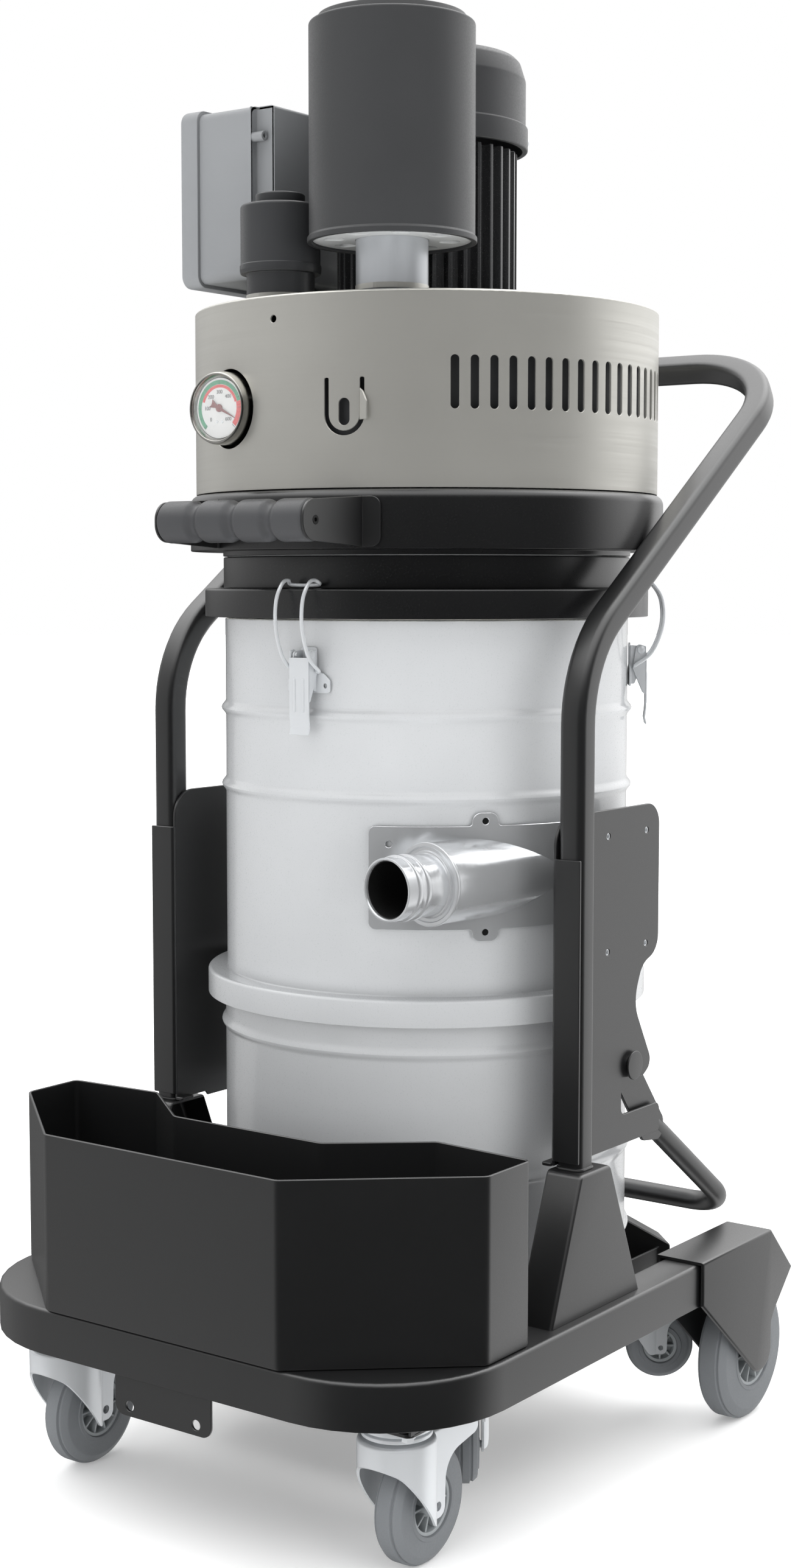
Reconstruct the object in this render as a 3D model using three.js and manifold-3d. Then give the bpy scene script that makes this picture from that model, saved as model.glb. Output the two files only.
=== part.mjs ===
// Mobile industrial dust collector: a trolley carrying a drum-shaped filter chamber, a motor head,
// a lift-up dust container on its own dolly, an accessory basket and a push handle.
// Millimetres, +Z up, the drum axis vertical, -Y the front where the basket is, +X the machine's right.
import * as THREE from 'three';
import { mergeVertices } from 'three/addons/utils/BufferGeometryUtils.js';
import Module from 'manifold-3d';

const wasm = await Module();
wasm.setup();

// ---- driving dimensions -------------------------------------------------------------------------
const gap = 0.3; // running and seating gap between separate pieces
const sheet = 3; // folded steel sheet
const drumR = 230; // filter chamber outside radius
const deck = { halfWidth: 319, front: -465, cornerR: 151, bottom: 171.5, top: 220, railEnd: 140 };
const notch = { halfWidth: 273, front: -246, cornerR: 40 }; // where the container rolls in
const tube = { size: 30, wall: 2.2, x: 281.5, y: -125 }; // push handle's square tube
const handle = { footZ: 369.6, slope: 35, riseZ: 906.3, barY: 355, sideR: 140, cornerR: 130 };
const tower = { inner: 262, outer: 306, topZ: 369.2, foot: [-208, -30], top: [-151, -91] };
const plateX = 265.7; // outer face of a side plate
const plateT = 3.5;
const pivot = { y: 17, z: 453, r: 8, headR: 16 }; // release lever's pivot pins
const basket = { bottom: 220.3, rim: 410, wall: 2.5 };
const chamber = { flangeR: 252, flangeBottom: 514, bottom: 544, top: 943.6, wall: 3 };
const inlet = {
  z: 671, angle: -98, offset: 190, pipeR: 33, boreR: 30, bulgeR: 43, mouth: 260, collar: 205,
};
const inletPlate = { clearance: 2.2, thickness: 2.8, from: -69.7, to: -12, low: 616.5, high: 727 };
const inletLug = { at: -39, halfTurn: 3.5, low: 604, high: 741, holes: [613.5, 732] };
const ring = { clampR: 252.6, clampBottom: 944, clampTop: 977, upperR: 231.5, upperTop: 1011.6 };
const head = { baseR: 268.5, baseBottom: 1018, baseTop: 1080.7, coverR: 261.7, coverTop: 1283 };
const slots = { first: -48.2, step: 4.55, count: 26, low: 1161, high: 1216, width: 7.5 };
const motor = { bodyR: 101.5, bottom: 1200.3, ringBottom: 1465, ringTop: 1490, coneZ: 1541, top: 1566 };
const silencer = { x: 86.7, y: -184.4, r: 86.8, bottom: 1338, shoulder: 1560, top: 1567, pipeR: 38 };
const valve = {
  x: -59.7, y: -188.7, neckR: 36.8, bodyR: 43.2, capR: 26.8,
  neckBottom: 1262, bodyBottom: 1314.5, bodyTop: 1388,
};
const box = { left: -242, seam: -216, right: -117, front: -141, back: 139, bottom: 1322, top: 1512 };
const gauge = { x: -84, z: 1168.7, bezelR: 39, face: -270, holeR: 45 };
const grip = { y: -331, z: 1046, r: 22, halfLength: 96 };
const castorPad = { halfX: 45, halfY: 40, bottom: 160, thickness: 5, side: 4 };
const towPlate = {
  halfWidth: 65, front: -461, lowEdge: 129, highEdge: 171.2, cornerR: 10, holeX: 45, holeZ: 140, holeR: 5,
};
const hood = { inner: 266, outer: 325, front: 80, bottom: 173, top: 223.4 };
const frontWheel = { r: 62.5, width: 36, bore: 6.4, x: 227, y: -330, trail: 38 };
const rearWheel = { r: 80, width: 40, bore: 6.4, x: 295.5, y: 226 };
const dollyWheel = { r: 40, width: 28, bore: 4.4, trail: 22, lift: 35 };
const dollyCastor = { x: 184, y: 186, top: 140.5 }; // swivel axes under the dolly's corners
const container = { r: 232, bottom: 243, top: 536, rimR: 246, wall: 2.5 };
const lever = { armX: 248, tubeR: 12, crossY: 288, crossZ: 229.5, cornerR: 55, topY: 76, topZ: 382 };
const latch = { angles: [-87, 33, 153], pivotR: 245, pivotZ: 907, faceTop: 904, bailR: 239, bailZ: 890 };

// ---- materials ----------------------------------------------------------------------------------
function paint(color, roughness, metalness) {
  return new THREE.MeshStandardMaterial({ color, roughness, metalness });
}
const look = {
  black: () => paint(0x2b2c2e, 0.45, 0.1),
  white: () => paint(0xd2d4d5, 0.25, 0.1),
  stainless: () => paint(0xb9b7af, 0.32, 1),
  zinc: () => paint(0xb4b8bb, 0.3, 1),
  graphite: () => paint(0x4a4b4d, 0.5, 0.1),
  greyPlastic: () => paint(0x7d8083, 0.5, 0),
  wheelGrey: () => paint(0x8d9194, 0.7, 0),
  castBlack: () => paint(0x232425, 0.6, 0.2),
  filter: () => paint(0xe4e2da, 0.9, 0),
  dial: () => paint(0xc3c4c2, 0.3, 0.8),
  red: () => paint(0x9c3a3a, 0.5, 0),
};

// ---- solids -------------------------------------------------------------------------------------
// Position-only copy with merged corners, no collapsed triangles, and faces pointing outwards.
function closed(geometry) {
  const bare = geometry.clone();
  bare.deleteAttribute('normal');
  bare.deleteAttribute('uv');
  const merged = mergeVertices(bare, 1e-4);
  const p = merged.attributes.position;
  const kept = [];
  let volume = 0;
  const corner = (i) => new THREE.Vector3().fromBufferAttribute(p, i);
  for (let t = 0; t < merged.index.count; t += 3) {
    const [a, b, c] = [0, 1, 2].map((k) => merged.index.getX(t + k));
    if (a === b || b === c || a === c) continue;
    kept.push(a, b, c);
    volume += corner(a).dot(corner(b).cross(corner(c)));
  }
  if (volume < 0) kept.reverse();
  merged.setIndex(kept);
  return merged;
}

function toSolid(geometry) {
  const g = closed(geometry);
  const vertProperties = Float32Array.from(g.attributes.position.array);
  const triVerts = Uint32Array.from(g.index.array);
  return new wasm.Manifold(new wasm.Mesh({ numProp: 3, vertProperties, triVerts }));
}

function fromSolid(body) {
  const m = body.getMesh();
  const geometry = new THREE.BufferGeometry();
  geometry.setAttribute('position', new THREE.BufferAttribute(m.vertProperties, 3));
  geometry.setIndex(new THREE.BufferAttribute(m.triVerts, 1));
  return geometry;
}

function join(...pieces) {
  return fromSolid(pieces.map(toSolid).reduce((sum, piece) => sum.add(piece)));
}

function cut(body, ...tools) {
  return fromSolid(tools.map(toSolid).reduce((rest, tool) => rest.subtract(tool), toSolid(body)));
}

const moved = (geometry, x = 0, y = 0, z = 0) => geometry.clone().translate(x, y, z);
const mirrored = (geometry) => closed(geometry.clone().scale(-1, 1, 1));
const radians = THREE.MathUtils.degToRad;

function block([x0, x1], [y0, y1], [z0, z1]) {
  const g = new THREE.BoxGeometry(x1 - x0, y1 - y0, z1 - z0);
  return g.translate((x0 + x1) / 2, (y0 + y1) / 2, (z0 + z1) / 2);
}

// Round bar along X, Y or Z between two stations of that axis.
function bar(axis, radius, from, to, centre, segments = 20) {
  const g = new THREE.CylinderGeometry(radius, radius, to - from, segments);
  if (axis === 'x') g.rotateZ(-Math.PI / 2);
  if (axis === 'z') g.rotateX(Math.PI / 2);
  const middle = (from + to) / 2;
  const [u, v] = centre;
  const place = { x: [middle, u, v], y: [u, middle, v], z: [u, v, middle] }[axis];
  return g.translate(...place);
}

// Body of revolution about Z from [radius, height] points; a profile off the axis closes on itself.
function turned(points, segments = 32) {
  const open = points[0][0] === 0 && points.at(-1)[0] === 0;
  const profile = (open ? points : [...points, points[0]]).map(([r, z]) => new THREE.Vector2(r, z));
  return new THREE.LatheGeometry(profile, segments).rotateX(Math.PI / 2);
}

// Outline through [x, y, cornerRadius] corners, each corner an arc of `steps` chords.
function outline(corners, steps = 4) {
  const points = [];
  corners.forEach(([x, y, r = 0], i) => {
    const here = new THREE.Vector2(x, y);
    const [px, py] = corners.at(i - 1);
    const [nx, ny] = corners[(i + 1) % corners.length];
    if (!r) return points.push(here);
    const back = new THREE.Vector2(px, py).sub(here).normalize();
    const on = new THREE.Vector2(nx, ny).sub(here).normalize();
    const half = Math.acos(THREE.MathUtils.clamp(back.dot(on), -1, 1)) / 2;
    const centre = back.clone().add(on).normalize().multiplyScalar(r / Math.sin(half)).add(here);
    const start = back.multiplyScalar(r / Math.tan(half)).add(here).sub(centre);
    const end = on.multiplyScalar(r / Math.tan(half)).add(here).sub(centre);
    const turn = Math.atan2(start.cross(end), start.dot(end));
    for (let k = 0; k <= steps; k++) {
      points.push(start.clone().rotateAround(new THREE.Vector2(), (turn * k) / steps).add(centre));
    }
  });
  return points;
}

// Prism with the outline in the XY plane, between two heights.
function prism(points, z0, z1, holes = []) {
  const shape = new THREE.Shape(points);
  shape.holes = holes.map((h) => new THREE.Path(h));
  return new THREE.ExtrudeGeometry(shape, { depth: z1 - z0, bevelEnabled: false }).translate(0, 0, z0);
}

// Prism with the outline in the YZ plane, between two X stations.
function sidePrism(points, x0, x1, holes = []) {
  const g = prism(points, x0, x1, holes);
  return g.applyMatrix4(new THREE.Matrix4().set(0, 0, 1, 0, 1, 0, 0, 0, 0, 1, 0, 0, 0, 0, 0, 1));
}

// Corners moved inwards by d on every side of a counter-clockwise polygon.
function inset(corners, d) {
  return corners.map(([x, y, r = 0], i) => {
    const here = new THREE.Vector2(x, y);
    const into = here.clone().sub(new THREE.Vector2(...corners.at(i - 1).slice(0, 2))).normalize();
    const out = new THREE.Vector2(...corners[(i + 1) % corners.length].slice(0, 2)).sub(here).normalize();
    const normalIn = new THREE.Vector2(-into.y, into.x);
    const normalOut = new THREE.Vector2(-out.y, out.x);
    const along = d / (1 + normalIn.dot(normalOut));
    const convex = into.cross(out) > 0;
    const moveBy = normalIn.add(normalOut).multiplyScalar(along);
    return [x + moveBy.x, y + moveBy.y, r ? Math.max(r + (convex ? -d : d), 0.5) : 0];
  });
}

// Curve that visits its stations one by one, so that a swept section turns exactly at each.
class Stations extends THREE.Curve {
  constructor(points) {
    super();
    this.points = points;
  }
  getPoint(t, target = new THREE.Vector3()) {
    const s = t * (this.points.length - 1);
    const i = Math.min(Math.floor(s), this.points.length - 2);
    return target.lerpVectors(this.points[i], this.points[i + 1], s - i);
  }
  getPointAt(u, target) {
    return this.getPoint(u, target);
  }
  getTangentAt(u, target = new THREE.Vector3()) {
    const i = Math.round(u * (this.points.length - 1));
    const before = this.points[Math.max(i - 1, 0)];
    const here = this.points[i];
    const after = this.points[Math.min(i + 1, this.points.length - 1)];
    const into = here.clone().sub(before).normalize();
    return target.copy(after).sub(here).normalize().add(into).normalize();
  }
}

// Stations of a path with straight runs and round bends; corners are [x, y, z, bendRadius].
function bent(corners, steps = 5) {
  const points = [];
  corners.forEach(([x, y, z, r = 0], i) => {
    const here = new THREE.Vector3(x, y, z);
    if (!r) return points.push(here);
    const back = new THREE.Vector3(...corners[i - 1].slice(0, 3)).sub(here).normalize();
    const on = new THREE.Vector3(...corners[i + 1].slice(0, 3)).sub(here).normalize();
    const half = back.angleTo(on) / 2;
    const centre = back.clone().add(on).normalize().multiplyScalar(r / Math.sin(half)).add(here);
    const start = back.clone().multiplyScalar(r / Math.tan(half)).add(here).sub(centre);
    const axis = new THREE.Vector3().crossVectors(on, back).normalize();
    const turn = Math.PI - 2 * half;
    for (let k = 0; k <= steps; k++) {
      points.push(start.clone().applyAxisAngle(axis, (turn * k) / steps).add(centre));
    }
  });
  return points;
}

function swept(section, stations, holes = []) {
  const shape = new THREE.Shape(section);
  shape.holes = holes.map((h) => new THREE.Path(h));
  const extrudePath = new Stations(stations);
  return new THREE.ExtrudeGeometry(shape, { steps: stations.length - 1, extrudePath, bevelEnabled: false });
}

function roundSection(radius, sides) {
  const at = (i) => radians((360 * (i + 0.5)) / sides);
  return Array.from({ length: sides }, (_, i) => new THREE.Vector2(Math.cos(at(i)), Math.sin(at(i)))
    .multiplyScalar(radius));
}

function square(size, chamfer) {
  const h = size / 2;
  return outline([[h, h, chamfer], [-h, h, chamfer], [-h, -h, chamfer], [h, -h, chamfer]], 1);
}

// ---- trolley ------------------------------------------------------------------------------------
function deckCorners(d) {
  const w = deck.halfWidth - d;
  const n = notch.halfWidth + d;
  const front = deck.front + d;
  const back = deck.railEnd - d;
  const inner = notch.front - d;
  const outerR = deck.cornerR - d;
  const innerR = notch.cornerR + d;
  return [[-w, front, outerR], [w, front, outerR], [w, back], [n, back], [n, inner, innerR],
    [-n, inner, innerR], [-n, back], [-w, back]];
}

// Folded deck with a skirt all round, castor mounting channels and a drilled tow plate at the front.
function baseDeck() {
  const outside = prism(outline(deckCorners(0), 6), deck.bottom, deck.top);
  const inside = prism(outline(deckCorners(sheet), 6), deck.bottom - 1, deck.top - sheet);
  const pivotY = frontWheel.y - frontWheel.trail;
  const { halfX, halfY, bottom, thickness, side } = castorPad;
  const mounts = [-1, 1].map((way) => {
    const x = way * frontWheel.x;
    const room = halfX - side;
    const pad = block([x - halfX, x + halfX], [pivotY - halfY, pivotY + halfY], [bottom, deck.top - 1]);
    const channel = block([x - room, x + room], [pivotY - halfY - 1, pivotY + halfY + 1],
      [bottom + thickness, deck.top - sheet]);
    return cut(pad, channel);
  });
  const { halfWidth, front, lowEdge, highEdge, cornerR, holeX, holeZ, holeR } = towPlate;
  const plate = outline([[-halfWidth, lowEdge, cornerR], [halfWidth, lowEdge, cornerR],
    [halfWidth, highEdge], [-halfWidth, highEdge]], 3);
  const tow = sidePrism(plate, 0, sheet).rotateZ(Math.PI / 2).translate(0, front, 0);
  const hanger = block([-halfWidth, halfWidth], [front + 1, front + sheet], [highEdge - 2, deck.top - 1]);
  const holes = [-holeX, holeX].map((x) => bar('y', holeR, front - 1, front + 12, [x, holeZ], 12));
  return cut(join(cut(outside, inside), ...mounts, tow, hanger), ...holes);
}

// Tapered tower that lifts the handle tube off the deck; folded from one sheet, open inwards.
function towerRight() {
  const trapezoid = (d) => [
    new THREE.Vector2(tower.foot[0] + d, deck.top + gap),
    new THREE.Vector2(tower.foot[1] - d, deck.top + gap),
    new THREE.Vector2(tower.top[1] - d, tower.topZ - (d ? sheet : 0)),
    new THREE.Vector2(tower.top[0] + d, tower.topZ - (d ? sheet : 0)),
  ];
  const outside = sidePrism(trapezoid(0), tower.inner, tower.outer);
  return cut(outside, sidePrism(trapezoid(sheet), tower.inner - 1, tower.outer - sheet),
    block([tower.inner - 1, tower.outer - sheet], [tower.foot[0] + 4, tower.foot[1] - 4], [215, 224]));
}

// One bent square tube: up from each tower, back over the slope and across behind the head.
function pushHandle() {
  const { footZ, slope, riseZ, barY, sideR, cornerR } = handle;
  const barZ = riseZ + (barY - tube.y) * Math.tan(radians(slope));
  const leg = (side) => [[side * tube.x, tube.y, footZ], [side * tube.x, tube.y, riseZ, sideR],
    [side * tube.x, barY, barZ, cornerR]];
  const path = bent([...leg(1), ...leg(-1).reverse()], 3);
  return swept(square(tube.size, 8), path, [square(tube.size - 2 * tube.wall, 5.5)]);
}

// Gusset plate between tube, chamber and container, with the lever pivot pin and the container notch.
function sidePlateRight() {
  const edge = outline([[-140.3, 372], [-88, 372], [-84, 367], [81, 367, 4], [81, 400, 8], [-3.3, 400, 8],
    [-3.3, 442, 4], [44, 436, 8], [64, 448, 14], [22, 522, 40], [40, 562, 30], [75, 574, 26], [75, 740, 24],
    [-140.3, 740, 32]], 3);
  const drill = [[-34.6, 711], [47, 711], [-34.6, 585], [47, 585]];
  const holes = drill.map(([y, z]) => roundSection(3.6, 8).map((p) => p.add(new THREE.Vector2(y, z))));
  const inner = plateX - plateT;
  const plate = sidePrism(edge, inner, plateX, holes);
  const flange = block([inner, 296.5], [-143.5, -140.2], [378, 697]);
  const foot = block([251, inner + 1], [-143.5, -122], [371.5, 375]);
  const pin = bar('x', pivot.r, 252, plateX + 1, [pivot.y, pivot.z], 16);
  const pinHead = bar('x', pivot.headR, plateX - 1, plateX + 6, [pivot.y, pivot.z], 18);
  return join(plate, flange, foot, pin, pinHead);
}

// Folded cover over a rear wheel, with its axle.
function wheelHoodRight() {
  const { inner, outer, front, bottom, top } = hood;
  const axle = [rearWheel.y, rearWheel.r];
  const corners = [[front, bottom], [221, 52, 27], [251, 70, 21], [251, 111], [259.5, 124], [303, 166],
    [248, top], [front, top]];
  const body = sidePrism(outline(corners, 3), inner, outer);
  const ceiling = top - sheet - 0.1;
  const hollow = [[front - 10, 40], [310, 40], [310, 166], [299, 166], [246.7, ceiling],
    [front - 10, ceiling]].map(([y, z]) => new THREE.Vector2(y, z));
  const cover = cut(body, sidePrism(hollow, inner + sheet, outer - sheet));
  const stub = bar('x', 6, inner, outer, axle, 16);
  return cut(join(cover, stub), bar('x', 3.6, inner - 1, outer + 1, axle, 10));
}

// Tyre and hub in one body about the X axis, dished on both sides.
function wheel({ r, width, bore }, segments) {
  const w = width / 2;
  const rim = r * 0.62;
  const half = [[bore, w + 1.5], [bore * 2, w + 1.5], [rim - 5, w * 0.45], [rim, w], [r, w - 4]];
  const profile = [...half, ...half.slice().reverse().map(([radius, z]) => [radius, -z])];
  return turned(profile, segments).rotateY(Math.PI / 2);
}

// Swivel fork: turntable on top, two legs raked back to the axle. The origin is the wheel centre.
function castorFork({ r, width, bore, trail }, top, thickness) {
  const inside = width / 2 + 3;
  const outside = inside + thickness;
  const s = r / 62.5;
  const bridge = top - 20 * s;
  const leg = outline([[-12 * s, -12 * s, 9 * s], [12 * s, -12 * s, 9 * s], [12 * s, 30 * s],
    [30 * s - trail, bridge], [-42 * s - trail, bridge], [-36 * s - trail, bridge - 20 * s]], 2);
  const legs = [inside, -outside].map((x) => sidePrism(leg, x, x + thickness));
  const crown = block([-outside, outside], [-trail - 42 * s, -trail + 30 * s],
    [bridge - 3 * s, bridge + 3 * s]);
  const turntable = bar('z', 34 * s, bridge + 2 * s, top, [0, -trail], 12);
  const axle = bar('x', bore - gap, -outside, outside, [0, 0], 8);
  return join(...legs, crown, turntable, axle);
}

// Open sheet-metal basket that follows the deck's front and steps round the drum at its back.
function accessoryBasket() {
  const corners = [[-156, -468, 12], [156, -468, 12], [313, -335, 12], [313, -258, 8], [193, -250, 12],
    [100, -325, 14], [-100, -325, 14], [-193, -250, 12], [-313, -258, 8], [-313, -335, 12]];
  const outside = prism(outline(corners, 2), basket.bottom, basket.rim);
  const inside = prism(outline(inset(corners, basket.wall), 2), basket.bottom + basket.wall, basket.rim + 1);
  return cut(outside, inside);
}

// ---- chamber, inlet and filter ------------------------------------------------------------------
function inletRoute(s) {
  const a = radians(inlet.angle);
  const out = radians(inlet.angle + 90);
  return [inlet.offset * Math.cos(out) + s * Math.cos(a), inlet.offset * Math.sin(out) + s * Math.sin(a)];
}

// Round bar on the inlet's axis, between two stations measured from the drum's widest point.
function inletBar(radius, from, to, segments) {
  const [x, y] = inletRoute((from + to) / 2);
  return new THREE.CylinderGeometry(radius, radius, to - from, segments)
    .rotateZ(radians(inlet.angle - 90)).translate(x, y, inlet.z);
}

// Rolled chamber with two stiffening beads and the flanged skirt that takes the container's rim.
function filterChamber() {
  const r = drumR;
  const c = chamber;
  const bead = (z) => [[r, z - 8], [r + 5, z], [r, z + 8]];
  const profile = [[r, c.bottom], ...bead(755), ...bead(842), [r, c.top], [r - c.wall, c.top],
    [r - c.wall, c.bottom - c.wall], [c.flangeR - c.wall, c.bottom - c.wall],
    [c.flangeR - c.wall, c.flangeBottom], [c.flangeR, c.flangeBottom], [c.flangeR, c.bottom - 2],
    [c.flangeR - 3, c.bottom]];
  return cut(turned(profile, 28), inletBar(inlet.boreR + 4, 0, inlet.mouth, 12));
}

// Curved wall plate with two bolting lugs, the tangential spout and its hose pipe.
function inletPort() {
  const inner = drumR + inletPlate.clearance;
  const outer = inner + inletPlate.thickness;
  const wedge = (radius, from, to) => Array.from({ length: 8 }, (_, i) => {
    const a = radians(from + ((to - from) * i) / 7);
    return new THREE.Vector2(radius * Math.cos(a), radius * Math.sin(a));
  });
  const arc = (from, to) => [...wedge(outer, from, to), ...wedge(inner, from, to).reverse()];
  const wall = prism(arc(inletPlate.from, inletPlate.to), inletPlate.low, inletPlate.high);
  const { at, halfTurn, low, high, holes } = inletLug;
  const lug = prism(arc(at - halfTurn, at + halfTurn), low, high);
  const lugHoles = holes.map((z) => bar('x', 3.5, 150, 300, [0, z], 6).rotateZ(radians(at)));
  const plain = cut(inletBar(inlet.bulgeR, -20, inlet.collar, 12), bar('z', inner, 500, 800, [0, 0], 32));
  const pipe = inletBar(inlet.pipeR, inlet.collar - 1, inlet.mouth, 12);
  const beads = [20, 33].map((d) => inletBar(inlet.pipeR + 1.8, inlet.mouth - d, inlet.mouth - d + 5, 12));
  const collar = inletBar(inlet.bulgeR + 1.2, inlet.collar - 5, inlet.collar, 12);
  const sheetHole = cut(join(wall, lug), ...lugHoles);
  const bore = inletBar(inlet.boreR, -10, inlet.mouth + 1, 12);
  return cut(join(sheetHole, plain, collar, pipe, ...beads), bore);
}

// Pleated filter sleeve hanging from a flange that is held between chamber and clamp ring.
function filterCartridge() {
  const pleats = 12;
  const star = (deep, shallow) => Array.from({ length: pleats * 2 }, (_, i) => {
    const a = (Math.PI * i) / pleats;
    const r = i % 2 ? shallow : deep;
    return new THREE.Vector2(r * Math.cos(a), r * Math.sin(a));
  });
  const sleeve = prism(star(150, 122), 600, 940, [star(147, 119)]);
  const bottomCap = turned([[0, 596], [153, 596], [153, 601], [0, 601]], 20);
  const flange = turned([[116, 939], [212, 939], [212, 944.5], [232, 944.5], [232, 947.5], [208, 947.5],
    [116, 947.5]], 24);
  return join(sleeve, bottomCap, flange);
}

// ---- latches, drawn at azimuth 0 with X as the radius and Y along the rim -------------------------
function latchBase() {
  const { pivotR, pivotZ } = latch;
  const back = block([231.2, 233.2], [-10, 10], [866, 915]);
  const feet = block([231.2, 233.2], [-27, 27], [866, 887]);
  const ear = outline([[0, 893], [15, 895, 3], [17.8, 904, 4], [17.2, 911, 4.5], [5, 911.5], [0, 911.5]], 2);
  const ears = [-1, 1].map((side) => prism(ear, -1, 1).rotateX(Math.PI / 2).translate(231.5, side * 9, 0));
  const pin = bar('y', 2.5, -13.6, 13.6, [pivotR, pivotZ], 8);
  return join(back, feet, ...ears, pin);
}

// Lever: a strip with a curled tip between two cheeks; the strip ends below the pivot and clears the ears.
function latchLever() {
  const { pivotR, pivotZ, faceTop } = latch;
  const cheek = outline([[-9.5, 886], [3, 857], [6.4, 857], [6.4, 911], [-5, 914, 6]], 2)
    .map((p) => p.add(new THREE.Vector2(pivotR, 0)));
  const sides = [-11.8, 11.8].map((y) => prism(cheek, -0.8, 0.8).rotateX(Math.PI / 2).translate(0, y, 0));
  const face = outline([[pivotR + 5, faceTop], [pivotR + 5, 842], [pivotR + 3.5, 829], [pivotR + 5.5, 822],
    [pivotR + 7, 823], [pivotR + 5.2, 829], [pivotR + 6.8, 842], [pivotR + 6.8, faceTop]]);
  const front = prism(face, -12.6, 12.6).rotateX(Math.PI / 2);
  const hole = bar('y', 2.9, -14, 14, [pivotR, pivotZ], 8);
  return cut(join(front, ...sides), hole);
}

// Wire bail: stub in the lever, two bowed arms and the bar that hooks over the clamp ring.
function latchBail() {
  const { bailR, bailZ } = latch;
  const half = 17;
  const arm = [[0, 0], [18.5, 15], [30, 45], [29, 74], [18, 92], [7, 95.5], [0, 90.8]]
    .map(([r, z]) => [bailR + r, bailZ + z]);
  const side = (y) => arm.map(([r, z]) => new THREE.Vector3(r, y, z));
  const stub = (y) => new THREE.Vector3(bailR, y, bailZ);
  const path = [stub(-13.2), ...side(-half), ...side(half).reverse(), stub(13.2)];
  return swept(roundSection(2.1, 5), path);
}

// ---- head ---------------------------------------------------------------------------------------
function clampRing() {
  const { clampR, clampBottom, clampTop } = ring;
  return turned([[clampR, clampBottom + 1], [clampR, clampTop - 2], [clampR - 2, clampTop],
    [222, clampTop], [222, clampTop - 3], [clampR - 3.5, clampTop - 3], [clampR - 3.5, clampBottom + 1]], 28);
}

function upperRing() {
  return turned([[ring.upperR, ring.clampTop + gap], [ring.upperR, ring.upperTop - 1.5],
    [ring.upperR - 1.5, ring.upperTop], [224, ring.upperTop], [224, ring.clampTop + gap]], 28);
}

// Moulded head base: seating disc below, rounded shoulder above, hollow inside.
function headBase() {
  const { baseR, baseBottom, baseTop } = head;
  return turned([[218, 1012], [232, 1012], [232, baseBottom], [baseR, baseBottom], [baseR, baseTop - 9],
    [baseR - 3, baseTop - 3], [baseR - 10, baseTop], [62, baseTop], [62, baseTop - 5],
    [baseR - 14, baseTop - 5], [baseR - 5, baseTop - 12], [baseR - 5, baseBottom + 4],
    [218, baseBottom + 4]], 28);
}

// Brushed cover with cooling slots, gauge opening, hose hook and the openings in its top.
function headCover() {
  const { coverR: r, baseTop, coverTop } = head;
  const wall = 2.4;
  const bottom = baseTop + gap;
  const can = turned([[r, bottom], [r, coverTop - 2], [r - 2, coverTop], [104.5, coverTop],
    [104.5, coverTop - wall], [r - wall, coverTop - wall], [r - wall, bottom]], 32);
  const { first, step, count, low, high, width } = slots;
  const slotCuts = Array.from({ length: count }, (_, i) => block([r - 12, r + 6], [-width / 2, width / 2],
    [low, high]).rotateZ(radians(first + i * step)));
  const gaugeHole = bar('y', gauge.holeR, -300, -190, [gauge.x, gauge.z], 18);
  const pipeHole = bar('z', silencer.pipeR + 0.5, coverTop - 10, coverTop + 5, [silencer.x, silencer.y], 20);
  const neckHole = bar('z', valve.neckR + 0.5, coverTop - 10, coverTop + 5, [valve.x, valve.y], 20);
  return cut(can, ...slotCuts, gaugeHole, pipeHole, neckHole, ...hookCuts(r));
}

// U-shaped slit that frees a tongue in the cover, and the finger slot in the tongue.
function hookCuts(r) {
  const [arm, low, high, slit] = [19.5, 1137, 1193, 5];
  const u = (grow) => {
    const w = arm + grow;
    return Array.from({ length: 7 }, (_, i) => {
      const a = Math.PI + (Math.PI * i) / 6;
      return new THREE.Vector2(w * Math.cos(a), low + arm + w * Math.sin(a));
    });
  };
  const end = (y) => new THREE.Vector2(y, high);
  const [wide, narrow] = [arm + slit / 2, arm - slit / 2];
  const band = [...u(slit / 2), end(wide), end(narrow), ...u(-slit / 2).reverse(), end(-narrow), end(-wide)];
  const finger = outline([[-6, 1145, 5.5], [6, 1145, 5.5], [6, 1173, 5.5], [-6, 1173, 5.5]], 2);
  return [band, finger].map((shape) => sidePrism(shape, r - 20, r + 8).rotateZ(radians(-73.6)));
}

// Side-channel blower under the cover: annular housing with a shaft opening and an intake below.
function blowerHousing() {
  return turned([[52, 1081.2], [150, 1081.2], [158, 1095], [158, 1200], [16, 1200], [16, 1194],
    [150, 1194], [150, 1088], [52, 1088]], 20);
}

// Shaft with impeller below and cooling fan above: everything that spins.
function blowerRotor() {
  return turned([[0, 1110], [30, 1110], [30, 1125], [134, 1125], [134, 1160], [126, 1160], [126, 1134],
    [12, 1134], [12, 1500], [88, 1500], [88, 1516], [0, 1516]], 16);
}

// Finned motor body with a through bore for the shaft.
function motorBody() {
  const fins = 24;
  const points = [];
  for (let i = 0; i < fins; i++) {
    const step = 360 / fins;
    const at = (share, r) => {
      const a = radians((i + share) * step);
      points.push(new THREE.Vector2(r * Math.cos(a), r * Math.sin(a)));
    };
    at(-0.11, motor.bodyR);
    at(0.11, motor.bodyR);
    at(0.17, 86);
    at(0.83, 86);
  }
  const body = prism(points, motor.bottom + 14, 1462);
  const flange = bar('z', 103, motor.bottom, motor.bottom + 14.5, [0, 0], 24);
  return cut(join(body, flange), bar('z', 14, motor.bottom - 1, 1470, [0, 0], 16));
}

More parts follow.
